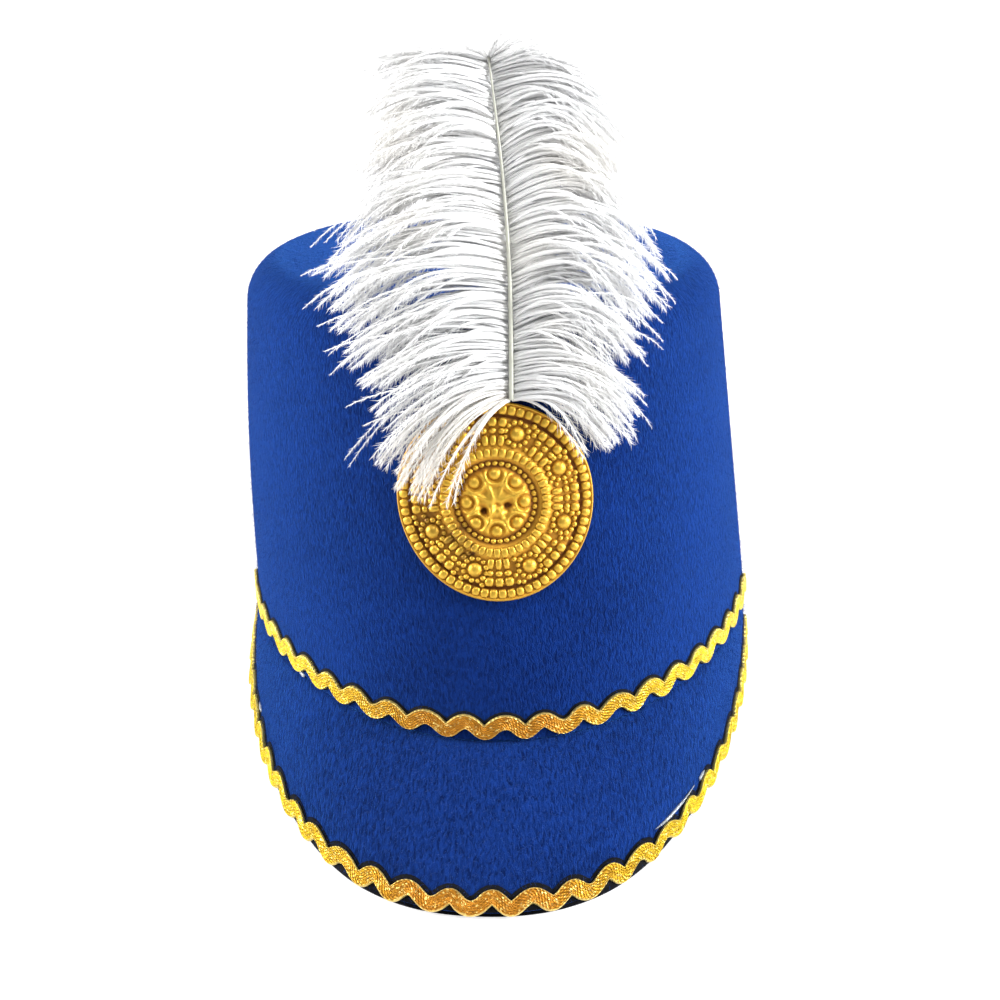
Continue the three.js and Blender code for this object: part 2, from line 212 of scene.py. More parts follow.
@dataclass(frozen=True)
class PeakForm:
    """The surface of the drooping peak in front of the crown.

    Attributes:
        crown: The crown that the peak is joined to.
        reach: How far the peak comes forward of the rim.
        drop: How far its front edge hangs below the plane of the rim.
        half_width: Half its width.
        squareness: The power of the outline, 2 for an ellipse and more for a squarer one.
        end_angle: The angle at which the peak ends.
        end_drop: How far its ends hang.
        arch: How far its middle stands above a straight line.
        felt: The felt's thickness.
        lining: The lining's thickness.
        lining_show: How far the lining stands out beyond the felt.
    """

    crown: CrownForm = field(default_factory=CrownForm)
    reach: float = 39.5
    drop: float = 41.0
    half_width: float = 88.2
    squareness: float = 2.26
    end_angle: float = math.radians(82.0)
    end_drop: float = 5.2
    arch: float = 2.0
    felt: float = 1.8
    lining: float = 1.2
    lining_show: float = 1.5

    def forward_share(self, angle: Array) -> Array:
        """Gives how far the edge has come forward at an angle, from 0 to 1."""
        return np.abs(np.cos(angle)) ** (2.0 / self.squareness)

    def seam(self, angle: Array) -> Array:
        """Gives the line where the peak meets the crown's rim."""
        return self.crown.point(angle, self.crown.rim_height(angle) - GAP)

    def edge(self, angle: Array) -> Array:
        """Gives the upper edge of the peak's outer rim."""
        forward = self.forward_share(angle)
        side = np.sign(angle) * np.abs(np.sin(angle)) ** (2.0 / self.squareness)
        depth = self.crown.rim_half_depth + self.reach
        drop = blend(self.end_drop, self.drop, forward)
        return np.stack([self.half_width * side, -depth * forward, -drop], axis=-1)

    def length(self, angle: Array) -> Array:
        """Gives the peak's length from the seam to its edge."""
        return np.linalg.norm(self.edge(angle) - self.seam(angle), axis=-1)

    def flat(self, angle: Array, share: Array) -> Array:
        """Gives points on the straight lines from the seam to the edge."""
        return blend(self.seam(angle), self.edge(angle), share[..., None])

    def point(self, angle: Array, share: Array, depth: Array | float) -> Array:
        """Gives points of the peak.

        Args:
            angle: The angle from the front towards +X.
            share: The share of the peak's length from the seam.
            depth: How far below the upper face.

        Returns:
            The points in the upright frame.
        """
        angle, share, depth = np.broadcast_arrays(angle, share, depth)
        step = 0.01
        along = self.flat(angle + step, share) - self.flat(angle - step, share)
        outward = self.flat(angle, share + step) - self.flat(angle, share - step)
        rise = self.arch * self.forward_share(angle) * 4.0 * share * (1.0 - np.minimum(share, 1.0))
        normal = unit(np.cross(outward, along))
        return self.flat(angle, share) + normal * (rise - depth)[..., None]


CROWN = CrownForm()
PEAK = PeakForm()


@dataclass
class Shell:
    """A closed surface made of rings of points.

    Attributes:
        points: The points in the upright frame.
        faces: The corners of each face.
        corner_uv: The place of each face's corners on the surface, in metres.
        marks: Named values for each point, numbers or vectors.
    """

    points: Array
    faces: list[tuple[int, ...]]
    corner_uv: list[Array]
    marks: dict[str, Array] = field(default_factory=dict)

    @classmethod
    def of_rings(
        cls,
        rings: Array,
        uv: Array,
        ends: Ends,
        marks: dict[str, Array] | None = None,
        first_uv: Array | None = None,
    ) -> Shell:
        """Joins rings of points into one closed surface.

        Args:
            rings: The points, shaped rings by columns by 3. Each ring is closed.
            uv: The surface places, shaped rings by columns plus one by 2.
            ends: Whether the ends are closed by a middle point or by a flat cap.
            marks: Named values, shaped rings by columns, or rings by columns by 3.
            first_uv: Other surface places for the first rings, in the same shape.

        Returns:
            The closed shell, with its faces pointing out.
        """
        count, columns = rings.shape[:2]
        points = rings.reshape(-1, 3)
        faces: list[tuple[int, ...]] = []
        corner_uv: list[Array] = []
        opening = uv if first_uv is None else first_uv
        for i in range(count - 1):
            flat = opening if i < len(opening) - 1 and first_uv is not None else uv
            for j in range(columns):
                k = (j + 1) % columns
                here, above = i * columns, (i + 1) * columns
                faces.append((here + j, here + k, above + k, above + j))
                corner_uv.append(np.array([*flat[i, j : j + 2], *flat[i + 1, j : j + 2][::-1]]))
        values = {name: value.reshape(count * columns, -1) for name, value in (marks or {}).items()}
        for end, order in ((0, -1), (count - 1, 1)):
            ring = [end * columns + j for j in range(columns)]
            if ends is Ends.CAPS:
                faces.append(tuple(ring[::order]))
                corner_uv.append(uv[end, :columns][::order])
                continue
            middle = len(points)
            points = np.vstack([points, rings[end].mean(axis=0)])
            values = {n: np.vstack([v, v[ring].mean(axis=0)]) for n, v in values.items()}
            flat = opening if end == 0 else uv
            middle_uv = flat[end, :columns].mean(axis=0)
            for j in range(columns):
                corners = (ring[j], ring[(j + 1) % columns], middle)
                faces.append(corners[::order])
                corner_uv.append(np.array([flat[end, j], flat[end, j + 1], middle_uv])[::order])
        return cls(points, faces, corner_uv, values).facing_out()

    def facing_out(self) -> Shell:
        """Turns all faces round if the shell is inside out."""
        volume = 0.0
        for face in self.faces:
            a = self.points[face[0]]
            for b, c in zip(face[1:-1], face[2:]):
                volume += float(np.dot(a, np.cross(self.points[b], self.points[c])))
        if volume < 0:
            self.faces = [face[::-1] for face in self.faces]
            self.corner_uv = [uv[::-1] for uv in self.corner_uv]
        return self


def mesh_object(name: str, shell: Shell, finish: bpy.types.Material) -> bpy.types.Object:
    """Makes a mesh object of a shell, in the row's frame.

    Args:
        name: The object's name.
        shell: The shell in the upright frame.
        finish: Its material.

    Returns:
        The linked object, shaded smooth, with the surface places as its UV map.
    """
    mesh = bpy.data.meshes.new(name)
    mesh.from_pydata(POSTURE.to_row(shell.points).tolist(), [], shell.faces)
    layer = mesh.uv_layers.new(name="surface")
    layer.data.foreach_set("uv", np.vstack(shell.corner_uv).astype(np.float32).ravel())
    for mark, value in shell.marks.items():
        kind = "FLOAT" if value.shape[1] == 1 else "FLOAT_VECTOR"
        attribute = mesh.attributes.new(mark, kind, "POINT")
        part = "value" if kind == "FLOAT" else "vector"
        attribute.data.foreach_set(part, value.astype(np.float32).ravel())
    mesh.materials.append(finish)
    mesh.shade_smooth()
    return linked(name, mesh)


def linked(name: str, mesh: bpy.types.Mesh) -> bpy.types.Object:
    """Links a mesh to the scene as an object of that name."""
    piece = bpy.data.objects.new(name, mesh)
    bpy.context.scene.collection.objects.link(piece)
    return piece


def joined(name: str, pieces: Sequence[bpy.types.Object]) -> bpy.types.Object:
    """Joins objects that stand at the origin into the first of them, and names it."""
    with bpy.context.temp_override(
        active_object=pieces[0], object=pieces[0], selected_editable_objects=list(pieces)
    ):
        bpy.ops.object.join()
    pieces[0].name = name
    pieces[0].data.name = name
    return pieces[0]


Plug = bpy.types.NodeSocket


class NodeMaker:
    """Adds nodes to a tree, sets their sockets and links them."""

    def __init__(self, tree: bpy.types.NodeTree) -> None:
        """Keeps the tree that the nodes go to."""
        self.tree = tree

    def add(self, kind: str, sockets: dict | None = None, **settings: object) -> bpy.types.Node:
        """Adds a node.

        Args:
            kind: The node's type.
            sockets: Values or linked sockets, by the input's name or number.
            settings: The node's own settings.

        Returns:
            The new node.
        """
        node = self.tree.nodes.new(kind)
        for name, value in settings.items():
            setattr(node, name, value)
        for key, value in (sockets or {}).items():
            if isinstance(value, bpy.types.NodeSocket):
                self.tree.links.new(value, node.inputs[key])
            else:
                node.inputs[key].default_value = value
        return node

    def math(self, operation: str, *values: Plug | float) -> Plug:
        """Adds a math node and gives its result."""
        node = self.add("ShaderNodeMath", dict(enumerate(values)), operation=operation)
        return node.outputs[0]

    def vector(self, operation: str, *values: Plug | Sequence[float]) -> Plug:
        """Adds a vector math node and gives its resulting vector."""
        node = self.add("ShaderNodeVectorMath", dict(enumerate(values)), operation=operation)
        return node.outputs[0]

    def scaled(self, vector: Plug, factor: Plug | float) -> Plug:
        """Multiplies a vector by a number."""
        node = self.add("ShaderNodeVectorMath", {0: vector, "Scale": factor}, operation="SCALE")
        return node.outputs[0]


class Paint(NodeMaker):
    """Builds the node tree of one procedural material."""

    def __init__(self, name: str) -> None:
        """Makes an empty material of that name."""
        self.material = bpy.data.materials.new(name)
        self.material.use_nodes = True
        super().__init__(self.material.node_tree)
        self.shader = self.tree.nodes["Principled BSDF"]
        self.coordinates = self.add("ShaderNodeTexCoord").outputs["Object"]
        self.surface = self.add("ShaderNodeUVMap", uv_map="surface").outputs[0]

    def noise(
        self,
        where: Plug,
        scale: float | Sequence[float],
        detail: float = 3.0,
        rough: float = 0.6,
        wander: float = 0.0,
    ) -> Plug:
        """Gives a noise value.

        Args:
            where: The coordinates to read.
            scale: The scale in turns for each metre, one for all or one for each axis.
            detail: The number of octaves.
            rough: How strong the fine octaves are.
            wander: How far the pattern is distorted.

        Returns:
            The noise, about 0 to 1.
        """
        factors = (scale,) * 3 if isinstance(scale, (int, float)) else tuple(scale)
        mapped = self.add("ShaderNodeMapping", {"Vector": where, "Scale": factors}).outputs[0]
        sockets = {"Vector": mapped, "Scale": 1.0, "Detail": detail, "Roughness": rough, "Distortion": wander}
        return self.add("ShaderNodeTexNoise", sockets).outputs["Fac"]

    def ramp(self, value: Plug, *stops: tuple[float, Colour]) -> Plug:
        """Turns a value into a colour by stops of place and colour."""
        node = self.add("ShaderNodeValToRGB", {"Fac": value})
        elements = node.color_ramp.elements
        while len(elements) < len(stops):
            elements.new(0.5)
        for element, (place, colour) in zip(elements, stops):
            element.position = place
            element.color = (*colour, 1.0)
        return node.outputs["Color"]

    def mixed(self, factor: Plug | float, first: Plug | Colour, second: Plug | Colour) -> Plug:
        """Mixes two colours."""
        first = first if isinstance(first, bpy.types.NodeSocket) else (*first, 1.0)
        second = second if isinstance(second, bpy.types.NodeSocket) else (*second, 1.0)
        node = self.add("ShaderNodeMix", {0: factor, 6: first, 7: second}, data_type="RGBA")
        return node.outputs[2]

    def attribute(self, name: str) -> Plug:
        """Reads a number that the mesh carries."""
        return self.add("ShaderNodeAttribute", attribute_name=name).outputs["Fac"]

    def ranged(
        self, value: Plug, low: float, high: float, out_low: float = 0.0, out_high: float = 1.0
    ) -> Plug:
        """Maps a value from one range to another and clamps it."""
        sockets = {0: value, 1: low, 2: high, 3: out_low, 4: out_high}
        return self.add("ShaderNodeMapRange", sockets).outputs[0]

    def axis(self, vector: Plug, number: int) -> Plug:
        """Gives one part of a vector, 0 for X, 1 for Y and 2 for Z."""
        return self.add("ShaderNodeSeparateXYZ", {0: vector}).outputs[number]

    def bumped(self, height: Plug, depth: float, strength: float) -> Plug:
        """Gives a normal that is bumped by a height of that depth in metres."""
        sockets = {"Height": height, "Distance": depth, "Strength": strength}
        return self.add("ShaderNodeBump", sockets).outputs[0]

    def sum(self, first: Plug, second: Plug, share: float) -> Plug:
        """Adds a share of the second value to the first."""
        return self.math("ADD", first, self.math("MULTIPLY", second, share))

    def finished(self, **sockets: object) -> bpy.types.Material:
        """Sets the shader's sockets, named with underscores, and gives the material."""
        for name, value in sockets.items():
            plug = self.shader.inputs[NAMED_SOCKETS.get(name, name.replace("_", " ").title())]
            if isinstance(value, bpy.types.NodeSocket):
                self.tree.links.new(value, plug)
            else:
                plug.default_value = value
        return self.material


NAMED_SOCKETS = {"ior": "IOR", "specular": "Specular IOR Level"}


@dataclass(frozen=True)
class FeltFinish:
    """Blue needled felt with a short combed nap, darker in the nap's hollows as painted shade.

    Attributes:
        name: The material's name.
        fibre_gap_shade: The painted shade between the fibres, also the dark end of the felt's cloudy tone.
        bright: The colour of the fibres on top.
        sheen: How much the nap catches light at a low angle.
        streak: The streaks of the nap in turns for each metre, across and along it.
    """

    name: str
    fibre_gap_shade: Colour
    bright: Colour
    sheen: float
    streak: tuple[float, float, float] = (1300.0, 420.0, 1.0)

    def material(self) -> bpy.types.Material:
        """Builds the felt."""
        paint = Paint(self.name)
        nap = paint.noise(paint.surface, self.streak, 3.0, 0.6, 0.8)
        fuzz = paint.noise(paint.coordinates, 2600.0, 2.0)
        clouds = paint.noise(paint.coordinates, 26.0, 3.0)
        tone = paint.sum(paint.math("MULTIPLY", nap, 0.8), clouds, 0.2)
        # The colour follows the nap's bump: its hollows get the painted shade between the fibres.
        colour = paint.ramp(tone, (0.38, self.fibre_gap_shade), (0.62, self.bright))
        height = paint.sum(nap, fuzz, 0.25)
        return paint.finished(
            base_color=colour,
            roughness=0.95,
            specular=0.04,
            sheen_weight=self.sheen,
            sheen_roughness=0.4,
            sheen_tint=(0.07, 0.28, 1.0, 1.0),
            normal=paint.bumped(height, 0.0011, 0.8),
        )


@dataclass(frozen=True)
class FibreFinish:
    """The loose fibres that stand off the felt.

    Attributes:
        name: The material's name.
        colour: The fibres' colour.
    """

    name: str
    colour: Colour

    def material(self) -> bpy.types.Material:
        """Builds the fibres' finish."""
        paint = Paint(self.name)
        tone = paint.noise(paint.coordinates, 300.0, 1.0)
        darker = tuple(0.6 * part for part in self.colour)
        colour = paint.ramp(tone, (0.35, darker), (0.65, self.colour))
        return paint.finished(base_color=colour, roughness=0.85, specular=0.06, sheen_weight=0.08)


CROWN_FELT = FeltFinish(
    name="crown_felt",
    fibre_gap_shade=(0.0015, 0.0096, 0.068),
    bright=(0.0044, 0.0258, 0.170),
    sheen=0.5,
)
PEAK_FELT = FeltFinish(
    name="peak_felt",
    fibre_gap_shade=(0.0017, 0.0090, 0.060),
    bright=(0.0066, 0.0330, 0.200),
    sheen=0.8,
    streak=(1150.0, 380.0, 1.0),
)
CROWN_FIBRES = FibreFinish(name="crown_fibres", colour=(0.0065, 0.038, 0.215))
PEAK_FIBRES = FibreFinish(name="peak_fibres", colour=(0.011, 0.056, 0.28))


@dataclass(frozen=True)
class LiningFinish:
    """The dull black backing under the peak and beside the braid; beside the braid it stands partly for the
    braid's black edge and partly as painted shadow.

    Attributes:
        colour: The colour in the grain's hollows.
    """

    colour: Colour = (0.0025, 0.0028, 0.004)

    def material(self) -> bpy.types.Material:
        """Builds the lining with a fine cloth grain."""
        paint = Paint("lining_black")
        grain = paint.noise(paint.coordinates, 1800.0, 3.0)
        colour = paint.ramp(grain, (0.3, self.colour), (0.7, tuple(2.4 * part for part in self.colour)))
        normal = paint.bumped(grain, 0.0002, 0.6)
        return paint.finished(base_color=colour, roughness=0.85, specular=0.12, normal=normal)


@dataclass(frozen=True)
class BraidFinish:
    """Gold rickrack woven from metallic thread, with paler selvedges. It turns from orange at the front to
    yellow at the sides as painted reflection, with painted glints and painted shade between the threads.

    Attributes:
        warm: The thread's colour at the front.
        side_reflection_yellow: The thread's colour at the sides, a paler yellow as painted reflection of the
            side light.
        pale: The colour of the selvedges.
        shade: The colour between the threads.
        half_band: Half the band's width in metres.
    """

    warm: Colour = (0.50, 0.205, 0.011)
    side_reflection_yellow: Colour = (0.69, 0.53, 0.015)
    pale: Colour = (0.92, 0.74, 0.24)
    # shade: The painted shade between the threads.
    shade: Colour = (0.17, 0.065, 0.006)
    half_band: float = 2.25 * MM

    def material(self) -> bpy.types.Material:
        """Builds the braid. The surface map runs along the band, then across it."""
        paint = Paint("gold_braid")
        along, across = paint.axis(paint.surface, 0), paint.axis(paint.surface, 1)
        rows, ribs = paint.math("MULTIPLY", along, 7000.0), paint.math("MULTIPLY", across, 5200.0)
        weave = paint.math("SINE", paint.math("ADD", rows, ribs))
        threads = paint.noise(paint.surface, (420.0, 3600.0, 1.0), 3.0, 0.6, 0.4)
        cells = {"Vector": paint.coordinates, "Scale": 1700.0}
        glint = paint.axis(paint.add("ShaderNodeTexVoronoi", cells).outputs["Color"], 0)
        # Towards the sides the thread turns yellow: a painted reflection of the side light.
        side = paint.math("ABSOLUTE", paint.axis(paint.coordinates, 0))
        base = paint.mixed(paint.ranged(side, 0.02, 0.07), self.warm, self.side_reflection_yellow)
        # Between the threads the colour darkens as painted shade, and pale spots are painted glints.
        thread = paint.mixed(paint.ranged(threads, 0.36, 0.56, 0.8, 0.0), base, self.shade)
        thread = paint.mixed(paint.ranged(glint, 0.8, 1.0, 0.0, 0.7), thread, self.pale)
        edge = paint.ranged(paint.math("ABSOLUTE", across), self.half_band * 0.8, self.half_band * 0.98)
        colour = paint.mixed(paint.math("MULTIPLY", edge, 0.7), thread, self.pale)
        height = paint.math("ADD", paint.math("MULTIPLY", weave, 0.25), threads)
        return paint.finished(
            base_color=colour,
            metallic=0.75,
            roughness=paint.ranged(glint, 0.0, 1.0, 0.55, 0.28),
            normal=paint.bumped(height, 0.0004, 0.9),
        )


@dataclass(frozen=True)
class BadgeFinish:
    """Pressed gold, darkened to brown in its recesses as painted shade, with a few brown stains.

    Attributes:
        gold: The colour on top of the relief.
        dull: The colour half way down, a lighter painted shade.
        brown: The painted shade in the recesses.
        stain: The colour of the stain.
    """

    gold: Colour = (0.66, 0.40, 0.045)
    dull: Colour = (0.55, 0.27, 0.025)
    brown: Colour = (0.15, 0.05, 0.005)
    stain: Colour = (0.11, 0.04, 0.008)

    def material(self) -> bpy.types.Material:
        """Builds the badge's gold from the relief and stain that its mesh carries. Low relief is darkened as
        painted shade.
        """
        paint = Paint("badge_gold")
        relief = paint.attribute("relief")
        patch = paint.noise(paint.coordinates, 320.0, 3.0)
        level = paint.math("ADD", relief, paint.math("MULTIPLY", paint.math("SUBTRACT", patch, 0.5), 0.35))
        # Low relief turns brown: painted shade in the recesses.
        gold = paint.ramp(level, (0.05, self.brown), (0.36, self.dull), (0.74, self.gold))
        worn = paint.math("MULTIPLY", paint.attribute("stain"), paint.ranged(patch, 0.38, 0.6))
        colour = paint.mixed(worn, gold, self.stain)
        grain = paint.noise(paint.coordinates, 2400.0, 3.0)
        return paint.finished(
            base_color=colour,
            metallic=0.72,
            roughness=paint.ranged(level, 0.0, 0.9, 0.62, 0.42),
            normal=paint.bumped(grain, 0.0001, 0.6),
        )


@dataclass(frozen=True)
class FeatherFinish:
    """White ostrich barbs, some a little greyer, and warm where they lie thick.

    Attributes:
        light: The colour of the lightest barbs.
        grey: The colour of the duller ones.
        warm: The tint of the warm patches.
    """

    light: Colour = (0.90, 0.90, 0.90)
    grey: Colour = (0.86, 0.86, 0.865)
    warm: Colour = (0.89, 0.855, 0.79)

    def material(self) -> bpy.types.Material:
        """Builds the barbs' finish from the tone and warmth that their mesh carries."""
        paint = Paint("feather")
        speck = paint.noise(paint.coordinates, 700.0, 2.0)
        tone = paint.sum(paint.attribute("tone"), speck, 0.5)
        plain = paint.ramp(tone, (0.35, self.grey), (0.95, self.light))
        patch = paint.ranged(paint.noise(paint.coordinates, 30.0, 1.0), 0.52, 0.72, 0.0, 0.35)
        warmth = paint.math("MAXIMUM", patch, paint.math("MULTIPLY", paint.attribute("warm"), 0.8))
        colour = paint.mixed(warmth, plain, self.warm)
        return paint.finished(base_color=colour, roughness=0.6, specular=0.2, sheen_weight=0.1)


@dataclass(frozen=True)
class QuillFinish:
    """The smooth pale grey-green shaft, with lengthwise streaks.

    Attributes:
        light: The shaft's colour.
        dark: The colour of the streaks.
    """

    light: Colour = (0.66, 0.66, 0.58)
    dark: Colour = (0.40, 0.42, 0.34)

    def material(self) -> bpy.types.Material:
        """Builds the shaft's finish."""
        paint = Paint("quill")
        streaks = paint.noise(paint.surface, (60.0, 2600.0, 1.0), 3.0)
        colour = paint.ramp(streaks, (0.3, self.dark), (0.62, self.light))
        return paint.finished(base_color=colour, roughness=0.42, normal=paint.bumped(streaks, 0.00005, 0.5))


@dataclass(frozen=True)
class GlueFinish:
    """Clear set glue, milky where it is thick.

    Attributes:
        colour: The milky parts' colour.
    """

    colour: Colour = (0.80, 0.86, 0.92)

    def material(self) -> bpy.types.Material:
        """Builds the glue."""
        paint = Paint("set_glue")
        haze = paint.noise(paint.coordinates, 900.0, 2.0)
        colour = paint.ramp(haze, (0.3, tuple(0.6 * part for part in self.colour)), (0.7, self.colour))
        return paint.finished(
            base_color=colour,
            roughness=0.18,
            transmission_weight=0.55,
            ior=1.48,
            normal=paint.bumped(haze, 0.0003, 0.5),
        )


class GrowthTree(NodeMaker):
    """A Geometry Nodes tree with named inputs that grows small shapes on a piece."""

    def __init__(self, name: str, inputs: Sequence[tuple[str, str, object]]) -> None:
        """Makes the tree and its sockets.

        Args:
            name: The tree's name.
            inputs: The name, kind and default value of each input.
        """
        super().__init__(bpy.data.node_groups.new(name, "GeometryNodeTree"))
        interface = self.tree.interface
        interface.new_socket("Geometry", in_out="INPUT", socket_type="NodeSocketGeometry")
        interface.new_socket("Geometry", in_out="OUTPUT", socket_type="NodeSocketGeometry")
        for title, kind, value in inputs:
            socket = interface.new_socket(title, in_out="INPUT", socket_type=f"NodeSocket{kind}")
            if value is not None:
                socket.default_value = value
        self.inputs = self.add("NodeGroupInput").outputs

    def named(self, name: str, kind: str = "FLOAT") -> Plug:
        """Reads a named value of the points."""
        return self.add("GeometryNodeInputNamedAttribute", {"Name": name}, data_type=kind).outputs[0]

    def random(self, low: float, high: float, seed: int) -> Plug:
        """Gives a random number for each point."""
        sockets = {2: low, 3: high, "Seed": seed}
        return self.add("FunctionNodeRandomValue", sockets, data_type="FLOAT").outputs[1]

    def random_vector(self, low: Sequence[float], high: Sequence[float], seed: Plug | int) -> Plug:
        """Gives a random vector for each point."""
        sockets = {0: low, 1: high, "Seed": seed}
        return self.add("FunctionNodeRandomValue", sockets, data_type="FLOAT_VECTOR").outputs[0]

    def spike(self, radius: Plug | float) -> Plug:
        """Gives a three-sided spike of length one that stands on the origin."""
        sockets = {"Vertices": 3, "Radius Top": 0.0, "Radius Bottom": radius, "Depth": 1.0}
        return self.add("GeometryNodeMeshCone", sockets, fill_type="NGON").outputs[0]

    def finish(self, *geometry: Plug) -> None:
        """Joins the parts and hands them out."""
        node = self.tree.nodes.new("GeometryNodeJoinGeometry")
        for part in reversed(geometry):
            self.tree.links.new(part, node.inputs[0])
        out = self.add("NodeGroupOutput")
        self.tree.links.new(node.outputs[0], out.inputs[0])

    def realized(self, instances: Plug, finish: Plug) -> Plug:
        """Turns instances into real geometry with a material."""
        real = self.add("GeometryNodeRealizeInstances", {0: instances}).outputs[0]
        return self.add("GeometryNodeSetMaterial", {0: real, "Material": finish}).outputs[0]

    def grow(self, piece: bpy.types.Object, values: dict[str, object]) -> bpy.types.Object:
        """Runs the tree on a piece and leaves the result as its plain mesh.

        Args:
            piece: The piece that the shapes grow on.
            values: The values of the tree's inputs by name.

        Returns:
            The same piece, with no modifier.
        """
        modifier = piece.modifiers.new("growth", "NODES")
        modifier.node_group = self.tree
        for item in self.tree.interface.items_tree:
            if item.item_type == "SOCKET" and item.in_out == "INPUT" and item.name in values:
                modifier[item.identifier] = values[item.name]
        graph = bpy.context.evaluated_depsgraph_get()
        mesh = bpy.data.meshes.new_from_object(
            piece.evaluated_get(graph), preserve_all_data_layers=True, depsgraph=graph
        )
        piece.modifiers.clear()
        old = piece.data
        piece.data = mesh
        bpy.data.meshes.remove(old)
        mesh.name = piece.name
        return piece


def nap_tree() -> GrowthTree:
    """Builds the tree that grows a combed nap of loose fibres on felt.

    The piece's points carry nap, the share of fibres, and lay, the way they are combed.
    """
    tree = GrowthTree(
        "felt_nap",
        (
            ("Density", "Float", 400000.0),
            ("Fibre Length", "Float", 0.0016),
            ("Fibre Radius", "Float", 0.00005),
            ("Fibre Finish", "Material", None),
            ("Seed", "Int", 3),
        ),
    )
    plugs = tree.inputs
    density = tree.math("MULTIPLY", tree.named("nap"), plugs["Density"])
    sockets = {"Mesh": plugs["Geometry"], "Density": density, "Seed": plugs["Seed"]}
    spread = tree.add("GeometryNodeDistributePointsOnFaces", sockets, distribute_method="RANDOM")
    lift = tree.scaled(spread.outputs["Normal"], tree.random(0.12, 0.5, 5))
    stray = tree.random_vector((-0.65, -0.65, -0.65), (0.65, 0.65, 0.65), 7)
    way = tree.vector("ADD", tree.vector("ADD", tree.named("lay", "FLOAT_VECTOR"), lift), stray)
    turn = tree.add("FunctionNodeAlignRotationToVector", {"Vector": way}, axis="Z").outputs[0]
    length = tree.math("MULTIPLY", plugs["Fibre Length"], tree.random(0.45, 1.25, 11))
    size = tree.add("ShaderNodeCombineXYZ", {0: 1.0, 1: 1.0, 2: length}).outputs[0]
    placed = {
        "Points": spread.outputs["Points"],
        "Instance": tree.spike(plugs["Fibre Radius"]),
        "Rotation": turn,
        "Scale": size,
    }
    fibres = tree.add("GeometryNodeInstanceOnPoints", placed).outputs[0]
    tree.finish(plugs["Geometry"], tree.realized(fibres, plugs["Fibre Finish"]))
    return tree


def bead_tree() -> GrowthTree:
    """Builds the tree that sets a bead on every point.

    The points carry size, turn and stain.
    """
    tree = GrowthTree("badge_beads", (("Bead", "Object", None), ("Finish", "Material", None)))
    plugs = tree.inputs
    bead = tree.add("GeometryNodeObjectInfo", {"Object": plugs["Bead"]}).outputs["Geometry"]
    turn = tree.add("FunctionNodeEulerToRotation", {0: tree.named("turn", "FLOAT_VECTOR")}).outputs[0]
    placed = {
        "Points": plugs["Geometry"],
        "Instance": bead,
        "Rotation": turn,
        "Scale": tree.named("size", "FLOAT_VECTOR"),
    }
    beads = tree.add("GeometryNodeInstanceOnPoints", placed).outputs[0]
    tree.finish(tree.realized(beads, plugs["Finish"]))
    return tree


def hair_tree() -> GrowthTree:
    """Builds the tree that grows soft hairs along the lines of the feather's barbs.

    The lines' points carry hair, the length of the hairs, and sweep, how closely they
    follow the barb.
    """
    tree = GrowthTree(
        "feather_hairs",
        (
            ("Hair Spacing", "Float", 0.00026),
            ("Hair Radius", "Float", 0.0001),
            ("Finish", "Material", None),
            ("Seed", "Int", 21),
        ),
    )
    plugs = tree.inputs
    curve = tree.add("GeometryNodeMeshToCurve", {"Mesh": plugs["Geometry"]}).outputs[0]
    spacing = {"Curve": curve, "Length": plugs["Hair Spacing"]}
    spaced = tree.add("GeometryNodeResampleCurve", spacing, mode="LENGTH").outputs[0]
    along = tree.scaled(tree.add("GeometryNodeInputTangent").outputs[0], tree.named("sweep"))
    stray = tree.random_vector((-0.75, -0.55, -1.15), (0.75, 0.4, 0.5), plugs["Seed"])
    way = tree.vector("ADD", along, stray)
    turn = tree.add("FunctionNodeAlignRotationToVector", {"Vector": way}, axis="Z").outputs[0]
    length = tree.math("MULTIPLY", tree.named("hair"), tree.random(0.45, 1.3, 37))
    size = tree.add("ShaderNodeCombineXYZ", {0: 1.0, 1: 1.0, 2: length}).outputs[0]
    placed = {"Points": spaced, "Instance": tree.spike(plugs["Hair Radius"]), "Rotation": turn, "Scale": size}
    hairs = tree.add("GeometryNodeInstanceOnPoints", placed).outputs[0]
    tree.finish(tree.realized(hairs, plugs["Finish"]))
    return tree


